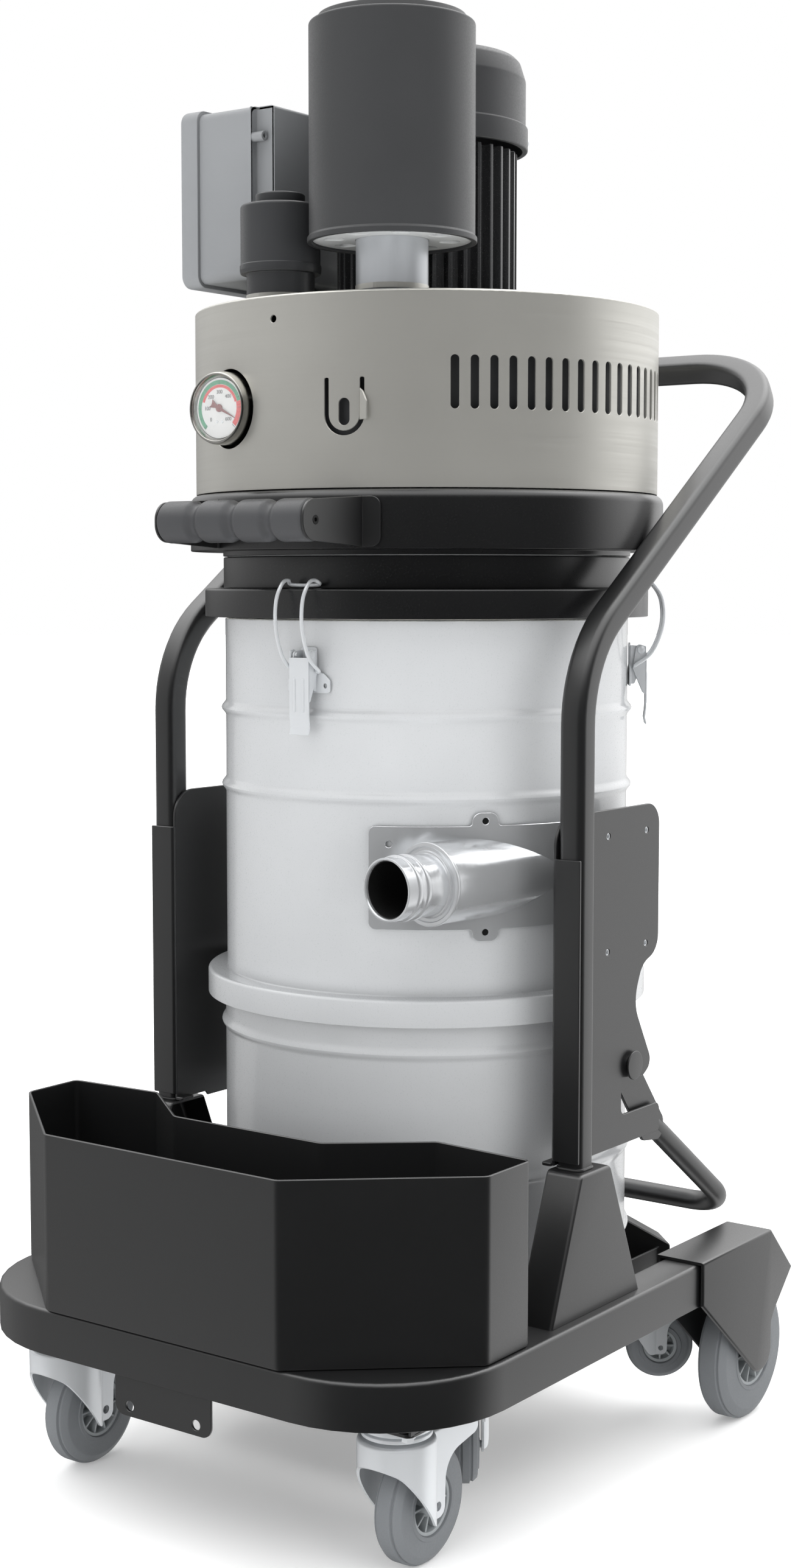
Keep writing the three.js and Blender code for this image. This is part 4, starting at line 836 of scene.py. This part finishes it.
# ---- head -----------------------------------------------------------------------------------------
def head_rings():
    r, low, high = RING["r"], RING["low"], RING["high"]
    clamp = [(r, low, 0.8), (r, high, 3.5), (222, high), (222, high - 3), (r - 3.5, high - 3, 2),
             (r - 3.5, low)]
    piece("clamp_band", turned(clamp, 144), "head_black", stands_for="clamp_ring")
    r, top = RING["upper_r"], RING["upper"]
    upper = [(r, high + 0.3, 0.6), (r, top, 1.5), (224, top), (224, high + 0.3)]
    piece("upper_band", turned(upper, 144), "head_black", stands_for="upper_ring")
    seal = [(226.5, top - 0.2), (226.5, top + 1.6, 0.6), (219, top + 1.6), (219, top - 0.2)]
    piece("head_seal", turned(seal, 144), "seal_grey")
    r, low, high = HEAD["base_r"], HEAD["bottom"], HEAD["base_top"]
    lip = 1012.6
    base = [(218, lip), (232, lip, 1), (232, low, 0.8), (r, low, 1.5), (r, high, 11), (62, high),
            (62, high - 5), (r - 5, high - 5, 8), (r - 5, low + 4), (218, low + 4)]
    piece("head_base_shell", turned(base, 144), "head_black", stands_for="head_base")


def gauge_opening(inner):
    """Outline, in the flat sheet, of the round opening that the gauge passes through."""
    r = HEAD["cover_r"]
    points = []
    for k in range(64):
        a = 2 * pi * k / 64
        x, z = GAUGE["x"] + GAUGE["hole"] * cos(a), GAUGE["z"] + GAUGE["hole"] * sin(a)
        points.append(Vector((inner * atan2(-sqrt(r * r - x * x), x), z)))
    return points


def hook_slit(centre):
    """Outline of the U-shaped slit round the hose hook's tongue."""
    arm, slit, bottom, top = (HOSE_HOOK[k] for k in ("arm", "slit", "bottom", "top"))
    turns = [radians(a) for a in range(180, 361, 12)]

    def around(width):
        return [Vector((centre + width * cos(a), bottom + arm + width * sin(a))) for a in turns]

    def end(side, offsets):
        return [Vector((centre + side * (arm + d), top + 2.2 * (1 - abs(d) / slit))) for d in offsets]

    outwards = (-slit, -slit / 2, slit / 2, slit)
    return [*around(arm + slit), *end(1, outwards[::-1]), *around(arm - slit)[::-1], *end(-1, outwards)]


def cover_wall(inner, thick, low, high):
    """Flat sheet with its openings, rolled round the head; its seam is at the back."""
    seam = 90.1
    outline = rectangle([radians(a) * inner for a in (seam - 360, seam - 0.2)], (low, high))
    first, step, count, width, bottom, top = COOLING_SLOTS.values()
    centres = [radians(first + k * step) * inner for k in range(count)]
    slots = [rounded(rectangle((x - width / 2, x + width / 2), (bottom, top), width / 2 - 0.1))
             for x in centres]
    tongue = radians(HOSE_HOOK["azimuth"]) * inner
    finger = rounded(rectangle((tongue - 6, tongue + 6), (1145, 1173), 5.9))
    screw_hole = circle(4, (radians(-92.4) * inner, 1258), 20)
    openings = [*slots, gauge_opening(inner), hook_slit(tongue), finger, screw_hole]
    return wrapped(plate([rounded(outline), *openings], thick, edge=0.35), inner, 3)


def hose_hook(inner):
    """Bent fin beside the tongue's slit, for hanging the hose."""
    flap = [(0, 1150.5), (12, 1150.5, 1), (12, 1169, 10), (5, 1180, 5), (0, 1183)]
    fin = plate([rounded(flap)], 2, at(y=1) @ FACING_FRONT)
    rim = radians(HOSE_HOOK["azimuth"]) * inner + HOSE_HOOK["arm"] - HOSE_HOOK["slit"]
    hinge = turned_by(degrees(rim / inner)) @ at(x=HEAD["cover_r"] - 1.5) @ turned_by(52)
    piece("hose_hook", placed(fin, hinge), "stainless")


def head_cover():
    """Brushed side wall, and a lid with openings for the exhaust pipe and the relief valve."""
    r, high, thick = HEAD["cover_r"], HEAD["top"], 2.4
    inner = r - thick
    wall = cover_wall(inner, thick, HEAD["base_top"] + 0.3, high - 2)
    bore = 104.5
    lid = [(bore, high - thick), (bore, high, 0.5), (r, high, 3), (r, high - thick), (inner, high - thick)]
    openings = [rod(radius + 0.5, high - 9, high + 9, 64, at(part["x"], part["y"]))
                for radius, part in ((SILENCER["pipe"], SILENCER), (VALVE["neck"], VALVE))]
    sheet = joined(wall, carved(turned(lid, 144), *openings))
    piece("head_cover_sheet", sheet, "stainless", stands_for="head_cover", sharp=25, radial=True)
    hose_hook(inner)
    # Dark sheet just behind the cooling slots: painted shade seen through them.
    span = [radians(a) * inner for a in (-92, 82)]
    shade_sheet = wrapped(plate([rounded(rectangle(span, (1118, 1246), 4))], 1.2), r - 15, 3)
    piece("cooling_slot_shade", shade_sheet, "fan_cover_grey")


def motor_body():
    """Finned casing on its round flange."""
    r, low, root, fins = MOTOR["r"], MOTOR["low"], MOTOR["root"], MOTOR["fins"]
    points = []
    for k in range(fins):
        for share, radius in ((-0.13, r), (0.13, r), (0.2, root), (0.8, root)):
            a = 2 * pi * (k + share) / fins
            points.append((radius * cos(a), radius * sin(a), 0.8 if radius == r else 2.2))
    casing = layered(points, [(0, low + 14), (0, 1461.4), (0.6, 1462)])
    flange = turned([(14, low), (103, low, 1), (103, low + 14.5, 1), (14, low + 14.5)], 96)
    piece("motor_fins", joined(casing, flange), "motor_black", stands_for="motor_body")


def motor_cover():
    """Fan hood with rings of air slots in its top and four screws in its rim."""
    ring_low, ring_high, cone, top = (MOTOR[k] for k in ("ring_low", "ring_high", "cone", "top"))
    cover = [(113.5, ring_low, 1.5), (113.5, ring_high, 2), (111, ring_high + 1, 1), (111, cone, 8),
             (105, top - 6, 6), (99, top, 5), (12, top, 1), (12, top - 3), (98, top - 3, 4),
             (107.5, cone, 7), (107.5, ring_low)]
    slots = []
    for radius in (34, 50, 66, 82):
        count = int(radius * 2 * pi / 21)
        half = radius * pi / count - 3
        for k in range(count):
            edge = rectangle((radius - 4, radius + 4), (-half, half), 3.5)
            slots.append(placed(layered(edge, [(0, top - 8), (0, top + 4)]), turned_by(360 * k / count)))
    piece("motor_fan_hood", carved(turned(cover, 96), joined(*slots)), "fan_cover_grey",
          stands_for="motor_fan_cover")
    screws = [placed(cross_screw(4, 2.4), turned_by(90, "Y"), at(113.3, 0, 1477.5), turned_by(a))
              for a in (-130, -50, 40, 140)]
    piece("fan_hood_screws", joined(*screws), "zinc")


def silencer():
    """Can with a beaded lower edge and a vented base plate, on the exhaust pipe."""
    x, y, r, low = (SILENCER[k] for k in ("x", "y", "r", "low"))
    shoulder, top, pipe = SILENCER["shoulder"], SILENCER["top"], SILENCER["pipe"]
    can = [(0, top), (77, top, 1.5), (79, shoulder, 1.5), (r, shoulder, 3), (r, low + 5.5, 1),
           (r + 2, low + 3, 1), (r + 2, low - 2, 0.8), (r - 3, low - 2), (r - 3, shoulder - 5),
           (0, shoulder - 5)]
    piece("silencer_can", turned(can, 128, at(x, y)), "silencer_grey", stands_for="silencer_body")
    disc = [circle(r - 3.4, count=96), circle(pipe + 0.4, count=64)]
    for a in range(0, 360, 45):
        slot = rounded(rectangle((51, 71), (-10, 10), 6))
        disc.append([Matrix.Rotation(radians(a), 2) @ p for p in slot])
    piece("silencer_grille", plate(disc, 4, at(x, y, low + 1)), "silencer_plate_grey",
          stands_for="silencer_base")
    tube = [(pipe, 1215), (pipe, low + 30, 0.5), (pipe - 3, low + 30, 0.5), (pipe - 3, 1215)]
    piece("exhaust_tube", turned(tube, 72, at(x, y)), "pipe_zinc", stands_for="exhaust_pipe")
    lid = HEAD["top"]
    collar = [(pipe + 0.2, lid + 0.2), (pipe + 4.5, lid + 0.2, 0.5), (pipe + 4.5, lid + 3, 1),
              (pipe + 0.2, lid + 3)]
    piece("exhaust_collar", turned(collar, 72, at(x, y)), "valve_black")


def relief_valve():
    x, y, neck, r, cap = (VALVE[k] for k in ("x", "y", "neck", "r", "cap"))
    low, high, foot = VALVE["low"], VALVE["high"], 1262
    body = [(neck, foot), (neck, low, 1), (r, low, 1), (r + 1, low + 4, 1), (r + 1, low + 9, 0.8),
            (r, low + 10, 0.5), (r, high, 4), (12, high), (12, high - 4), (r - 5, high - 4),
            (neck - 4, low), (neck - 4, foot)]
    piece("relief_valve_shell", turned(body, 80, at(x, y)), "valve_black", stands_for="relief_valve_body")
    top = [(0, 1330), (10, 1330), (10, high + 0.4), (cap, high + 0.4, 0.8), (cap, high + 12, 2.5),
           (8, high + 12, 0.5), (7, high + 10, 0.5), (0, high + 10)]
    piece("relief_valve_button", turned(top, 64, at(x, y)), "valve_black", "relief_valve_cap",
          "relief_valve_cap")


# ---- control box ----------------------------------------------------------------------------------
BOX_EDGES = ((BOX["front"], 1), (BOX["back"], -1))  # y of a long edge, and the way into the box


def corner_wells():
    """Room for the screw channels in the two corners at the right end of the box."""
    x = (BOX["right"] - BOX["well"], BOX["right"] + 5)
    z = (BOX["low"] + 30, BOX["high"] + 5)
    return [slab(x, sorted((y - way, y + way * 13)), z, 3) for y, way in BOX_EDGES]


def control_box_tub():
    """Moulded tub with a screw channel and its boss in each corner of the right end."""
    seam, right, low, high = BOX["seam"], BOX["right"], BOX["low"], BOX["high"]
    shell = rectangle((BOX["front"], BOX["back"]), (low, high), 10)
    hollow = layered(inset(shell, 3), [(0, seam - 2), (0, right - 3)], ALONG_X)
    tub = carved(layered(shell, [(0, seam + 0.3), *eased(right, 4)], ALONG_X), hollow)
    inner_skin = []
    bosses = []
    for y, way in BOX_EDGES:
        around = sorted((y + way * 0.4, y + way * 16))
        inner_skin.append(slab((right - BOX["well"] - 3, right - 1), around, (low + 27, high - 1), 4))
        boss = [(0, 0), (5.5, 0), (5.5, 17, 1), (2.4, 17, 0.3), (2.4, 9), (0, 9)]
        bosses.append(turned(boss, 32, at(right - 25, y + way * 5.8, high - 34) @ ALONG_X))
    tub = carved(tub, *corner_wells())
    channels = carved(joined(*inner_skin), *corner_wells())
    piece("control_box_tub", joined(tub, channels, *bosses), "box_grey", stands_for="control_box")


def control_box_cover():
    """Lid with a deep rim, and a screw in each of its corners."""
    left, seam, front, back = BOX["left"], BOX["seam"], BOX["front"], BOX["back"]
    low, high = BOX["low"], BOX["high"]
    edge = rectangle((front - 4, back + 4), (low - 4, high + 4), 14)
    room = layered(inset(edge, 6), [(0, left + 3), (0, seam + 2)], ALONG_X)
    lid = layered(edge, [*eased(left, 4, up=False), (0, seam - 0.5), (0.5, seam)], ALONG_X)
    piece("control_box_cover", carved(lid, room), "box_grey", stands_for="control_box_lid")
    screws = [placed(cross_screw(5, 2), turned_by(-90, "Y"), at(left + 0.5, y, z))
              for y in (front + 10, back - 10) for z in (low + 10, high - 10)]
    piece("control_box_screws", joined(*screws), "zinc")


def main_switch():
    """Rotary knob with a wing grip on the lid."""
    dial = turned([(0, 0.3), (24, 0.3), (24, 4, 1.2), (21, 7.7, 1.5), (0, 7.7)], 48)
    wing = layered(rectangle((-23, 23), (-6, 6), 5), [(0, 7), (0.5, 22), (2, 26)])
    knob = placed(joined(dial, wing), turned_by(-90, "Y"), at(BOX["left"], 0, 1440))
    piece("main_switch", knob, "knob_black", "switch_knob", "switch_knob")


def box_stand():
    """Hat-shaped folded stand between the head and the control box."""
    left, right, low, high = -205, -135, HEAD["top"] + 0.3, BOX["low"] - 4.3
    hat = [(left - 12, low), (left + 3, low, 3), (left + 3, high - 3), (right - 3, high - 3),
           (right - 3, low, 3), (right + 12, low), (right + 12, low + 3), (right, low + 3, 1),
           (right, high, 5), (left, high, 5), (left, low + 3, 1), (left - 12, low + 3)]
    stand = layered(hat, [(0.4, -70), (0, -69.6), (0, 69.6), (0.4, 70)], FACING_FRONT)
    piece("box_stand", stand, "frame_black", stands_for="control_box_bracket")


# ---- gauge, drawn about Z and facing the front ------------------------------------------------------
def arc_band(inner, outer, start, end):
    """Painted band on the dial between two radii, its angles in degrees anticlockwise from +X."""
    count = max(3, int(abs(end - start) / 4))
    turns = [radians(start + (end - start) * k / count) for k in range(count + 1)]
    points = [Vector((outer * cos(a), outer * sin(a))) for a in turns]
    points += [Vector((inner * cos(a), inner * sin(a))) for a in turns[::-1]]
    return plate([points], 0.25, at(z=-7.05), edge=0.05)


def numeral(words, size, x, y, z):
    curve = bpy.data.curves.new("numeral", "FONT")
    curve.body = words
    curve.size = size
    curve.align_x = "CENTER"
    curve.align_y = "CENTER"
    curve.extrude = 0.1
    thing = bpy.data.objects.new("numeral", curve)
    scene.collection.objects.link(thing)
    ready = thing.evaluated_get(bpy.context.evaluated_depsgraph_get())
    bm = bmesh.new()
    bm.from_mesh(ready.to_mesh())
    ready.to_mesh_clear()
    bpy.data.objects.remove(thing)
    bmesh.ops.remove_doubles(bm, verts=bm.verts, dist=1e-3)
    return placed(bm, at(x, y, z))


def gauge_scale(dial):
    """Ticks and plain numbers of the scale."""
    marks = []
    for k in range(13):
        length = 5 if k % 2 == 0 else 3
        tick = slab((0.93 * dial - length, 0.93 * dial), (-0.2, 0.2), (-7.02, -6.7), edge=0.02)
        marks.append(placed(tick, turned_by(225 - 22.5 * k)))
    reach = 0.53 * dial
    for value, a in ((0, 225), (100, 180), (200, 135), (300, 90), (400, 45), (600, -45)):
        marks.append(numeral(str(value), 5.8, reach * cos(radians(a)), reach * sin(radians(a)), -6.85))
    return joined(*marks)


def gauge():
    """Vacuum gauge: case and bezel, dial with two painted bands, scale, needle and lens."""
    place = at(GAUGE["x"], GAUGE["face"], GAUGE["z"]) @ FACING_FRONT
    r, dial = GAUGE["bezel"], GAUGE["dial"]
    case = [(0, -52), (11, -52, 1), (11, -38), (32, -37, 3), (r - 3, -34, 1), (r - 1, -30, 2), (r, -22, 2),
            (r, -6, 1.5), (r - 1.5, -1, 1.5), (r - 4, 0, 1.2), (dial + 1.5, -4.5, 1), (dial, -8), (0, -8)]
    piece("gauge_case", turned(case, 96, place), "gauge_case", stands_for="gauge_body")
    piece("gauge_dial", rod(dial - 0.2, -8.2, -7, 96, place), "dial_white")
    green = arc_band(0.79 * dial, 0.93 * dial, 228, 15)
    piece("gauge_band_green", placed(green, place), "dial_green")
    reds = joined(arc_band(0.68 * dial, 0.78 * dial, 163, 15),
                  arc_band(0.74 * dial, 0.93 * dial, 14.5, -42))
    piece("gauge_band_red", placed(reds, place), "dial_red")
    piece("gauge_scale", placed(gauge_scale(dial), place), "dial_ink")
    screws = [turned([(0, -7), (1.7, -7), (1.7, -6.4, 0.3), (0, -6.4)], 16, at(x, -14.5))
              for x in (-3.6, 3.6)]
    piece("gauge_dial_screws", placed(joined(*screws), place), "zinc")
    blade = [(-12, -4.6), (-3, -1.5), (0, -1.9), (4, -1.6), (24.5, -0.3), (24.5, 0.3), (4, 1.6),
             (0, 1.9), (-3, 1.5), (-12, 4.6), (-10.8, 0)]
    hand = plate([rounded(blade)], 0.7, at(z=-6), edge=0.1)
    hub = turned([(0, -6.7), (4.2, -6.7), (4.2, -4.8, 0.8), (0, -4.6)], 32)
    needle = placed(joined(hand, hub), turned_by(GAUGE["reading"]), place)
    piece("gauge_hand", needle, "needle_red", "gauge_needle", "gauge_needle")
    glass = turned([(0, -3.6), (dial + 1, -3.6), (dial + 1, -2.8, 0.3), (0, -2.2)], 64, place)
    piece("gauge_lens", glass, "lens")


# ---- carrying grip --------------------------------------------------------------------------------
def carry_grip():
    """Bar with three round swellings, between two brackets."""
    r, half = GRIP["r"], GRIP["half"]
    profile = [(0, -half), (r - 4, -half), (r, -half, 3.5)]
    for centre in (-50, 0, 50):
        for k in range(-6, 7):
            t = k / 6
            profile.append((r - 4.5 * (1 + cos(pi * t)) / 2, centre + 11 * t))
    profile += [(r, half, 3.5), (r - 4, half), (0, half)]
    bar = turned(profile, 72, at(y=GRIP["y"], z=GRIP["z"]) @ ALONG_X)
    piece("grip_moulding", bar, "grip_black", stands_for="carry_grip")
    for name, side in SIDES:
        grip_bracket(name, side)


def grip_bracket(name, side):
    """Folded bracket: a strap beside the bar and a foot that lies on the head's wall."""
    x, y, z, wall = GRIP["half"] + 0.3, GRIP["y"], GRIP["z"], HEAD["base_r"]
    arm = rounded([(y - 20, z - 20, 18.5), (-251.2, z - 26), (-251.2, z + 26), (y - 20, z + 20, 18.5)])
    strap = plate([arm, circle(3.2, (y, z), 20)], 3, at(x=x) @ ALONG_X, 0.5)
    on_wall = at(z=z) @ turned_by(degrees(-acos(x / wall))) @ at(x=wall + 0.3) @ ALONG_X
    foot = plate([rounded([(-3, -26), (21, -26, 10), (21, 26, 10), (-3, 26)])], 3, on_wall, 0.5)
    piece(f"grip_bracket_{name}_sheet", mirrored(joined(strap, foot), side), "frame_black",
          stands_for=f"grip_bracket_{name}")
    profile = [(0, 0.8), (2.2, 0.8), (2.2, 3.4, 0.2), (5, 3.4, 0.6), (5, 2.4), (5, 0.2), (0, 0.2)]
    socket = turned(profile, 24, at(x, y, z) @ ALONG_X)
    piece(f"grip_screw_{name}", mirrored(socket, side), "shadow_black")


# ---- container, dolly and lever -------------------------------------------------------------------
def container():
    """Dust container with a rolled rim, two beads and a pair of lifting pins."""
    r, low, top, rim, wall = (CONTAINER[k] for k in ("r", "low", "top", "rim", "wall"))
    beads = [p for z in CONTAINER["beads"] for p in bead(r, z, 4.5)]
    can = [(0, low), (r + 4, low, 1.4), (r + 4, low + 3, 1.4), (r, low + 3, 1), *beads, (r, top - 3, 2),
           (rim, top - 3, 1.2), (rim, top, 1.2), (r - wall, top, 1), (r - wall, low + wall, 3),
           (0, low + wall)]
    # Its enamel is a lightened copy of the drum's: painted light.
    piece("container_wall", turned(can, 144), "container_white_lightened", "container", "dust_container")
    pin = [(0, r - 1), (11, r - 1), (11, r + 4, 1), (7, r + 4), (7, r + 18, 1.5), (0, r + 18)]
    pins = [mirrored(turned(pin, 32, at(y=12, z=418) @ ALONG_X), side) for _, side in SIDES]
    piece("container_trunnions", joined(*pins), "zinc", "container")


def container_dolly():
    """Square tray with a round seat and a wedge at each corner that centres the container."""
    half = 214
    stations = [(SHEET, 144), (SHEET, 199.5), (SHEET - 0.5, 200), (0.5, 200), (0, 199.5),
                *eased(141, 3, up=False)[::-1]]
    pan = layered(rectangle((-half, half), (-half, half), 46), stations)
    seat = turned([(212, 143), (227, 143), (227, 242.7, 1), (212, 242.7, 1)], 128)
    wedges = []
    for a in range(45, 360, 90):
        edge = [(190, 143), (290, 143, 4), (290, 202, 6), (231, 237, 6), (190, 237)]
        fin = layered(edge, [(1.5, -24), (0, -22.5), (0, 22.5), (1.5, 24)], FACING_FRONT)
        wedges.append(placed(carved(fin, rod(220, 100, 300, 96)), turned_by(a)))
    piece("dolly_tray", joined(pan, seat, *wedges), "frame_black", "container", "container_dolly")


def release_lever():
    """Bent round tube behind the container, on two links that turn about the pivot pins."""
    arm_x, r, cross_y, cross_z = (LEVER[k] for k in ("arm_x", "r", "cross_y", "cross_z"))
    right, left = ([(side * arm_x, 76, 382), (side * arm_x, cross_y, cross_z, 55)] for _, side in SIDES)
    bar = swept(circle(r, count=28), bent([*right, *left[::-1]]), (1, 0, 0))
    y, z = PIVOT
    link = [(y - 17, z + 4, 15), (y - 16, z - 22, 12), (58, 358, 10), (100, 352, 12), (104, 376, 12),
            (y + 20, z + 6, 16), (y + 2, z + 18, 14)]
    links = [mirrored(plate([rounded(link), circle(8.3, PIVOT)], 4, at(x=254.6) @ ALONG_X, 0.6), side)
             for _, side in SIDES]
    piece("release_tube", joined(bar, *links), "frame_black", "release_lever", "release_lever")


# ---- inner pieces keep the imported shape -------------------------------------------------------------
def inner_pieces():
    for node, look in (("filter_cartridge", "filter_cloth"), ("blower_housing", "motor_black"),
                       ("blower_rotor", "rotor_metal")):
        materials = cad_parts[node].data.materials
        materials.clear()
        materials.append(LOOKS[look])


# ---- studio ---------------------------------------------------------------------------------------
def studio_floor():
    floor = bmesh.new()
    bmesh.ops.create_circle(floor, cap_ends=True, segments=96, radius=40)
    mesh = bpy.data.meshes.new("studio_floor")
    floor.to_mesh(mesh)
    floor.free()
    mesh.materials.append(surface("floor_paper", (0.95, 0.95, 0.95), 0.9, vary=0.003, depth=0.01,
                                  Emission_Color=(1, 1, 1, 1), Emission_Strength=0.2))
    ground = bpy.data.objects.new("studio_floor", mesh)
    scene.collection.objects.link(ground)
    ground.visible_glossy = False


def sky_strength(tree):
    """Radiance of the sky by direction: bright above and behind, dim on the camera's side."""
    direction = add_node(tree, "TexCoord", "Generated", {})

    def glow(source, start, end, strength):
        span = {"Value": source, "From Min": start, "From Max": end, "To Max": strength}
        return add_node(tree, "MapRange", "Result", span, interpolation_type="SMOOTHSTEP")

    def along(source, way):
        return add_node(tree, "VectorMath", "Value", {0: source, 1: way}, operation="DOT_PRODUCT")

    def combined(a, b, operation="ADD"):
        return add_node(tree, "Math", "Value", {0: a, 1: b}, operation=operation)

    flat = add_node(tree, "VectorMath", "Vector", {0: direction, 1: (1, 1, 0)}, operation="MULTIPLY")
    level = add_node(tree, "VectorMath", "Vector", {0: flat}, operation="NORMALIZE")

    def towards(azimuth, start, end, strength):
        way = (cos(radians(azimuth)), sin(radians(azimuth)), 0)
        return glow(along(level, way), cos(radians(start)), cos(radians(end)), strength)

    height = along(direction, (0, 0, 1))
    total = glow(height, -2, -1, SKY["faint"])
    total = combined(total, towards(75, 55, 15, SKY["right"]))
    total = combined(total, towards(205, 70, 15, SKY["left"]))
    back = combined(towards(120, 100, 30, 1), glow(height, -0.02, 0.3, SKY["behind"]), "MULTIPLY")
    total = combined(total, back)
    return combined(total, glow(height, 0.4, 0.8, SKY["above"]))


def studio_sky():
    """Soft sky that lights the object, with plain white where the camera looks past it."""
    world = bpy.data.worlds.new("studio")
    scene.world = world
    world.use_nodes = True
    tree = world.node_tree
    white = {"Color": (1, 1, 1, 1)}
    soft = tree.nodes["Background"]
    feed(tree, soft, {**white, "Strength": sky_strength(tree)})
    seen = add_node(tree, "LightPath", "Is Camera Ray", {})
    plain = add_node(tree, "Background", "Background", white)
    shader = add_node(tree, "MixShader", "Shader", {"Fac": seen, 1: soft.outputs["Background"], 2: plain})
    feed(tree, tree.nodes["World Output"], {"Surface": shader})


def studio_lamps():
    """Two large soft lamps that brighten matt surfaces and leave no highlights."""
    for name, spot, size, power in FILLS:
        lamp = bpy.data.lights.new(name, "AREA")
        lamp.size = size
        lamp.energy = power
        thing = bpy.data.objects.new(name, lamp)
        thing.location = spot
        thing.rotation_euler = (Vector((0, 0, 0.7)) - Vector(spot)).to_track_quat("-Z", "Y").to_euler()
        thing.visible_glossy = False
        scene.collection.objects.link(thing)


def camera():
    data = bpy.data.cameras.new("camera")
    data.sensor_fit = "VERTICAL"
    data.sensor_height = CAMERA["sensor"]
    data.lens = CAMERA["lens"]
    eye = bpy.data.objects.new("camera", data)
    x, y, z = CAMERA["place"]
    eye.location = (x, y + AXIS_Y, z)
    eye.rotation_euler = (radians(CAMERA["tilt"]), 0, radians(CAMERA["turn"]))
    scene.collection.objects.link(eye)
    scene.camera = eye
    scene.view_settings.view_transform = "Standard"


camera()
studio_floor()
studio_sky()
studio_lamps()
deck()
tow_plate()
castor_mounts()
for name, side in SIDES:
    tower(name, side)
    side_plate(name, side)
    wheel_hood(name, side)
push_handle()
accessory_basket()
castors()
filter_chamber()
inlet_plate()
inlet_spout()
for number, angle in enumerate(LATCH["angles"], 1):
    round_drum = turned_by(angle)
    latch_base(number, round_drum)
    latch_lever(number, round_drum)
    latch_bail(number, round_drum)
head_rings()
head_cover()
motor_body()
motor_cover()
silencer()
relief_valve()
control_box_tub()
control_box_cover()
main_switch()
box_stand()
gauge()
carry_grip()
container()
container_dolly()
release_lever()
inner_pieces()
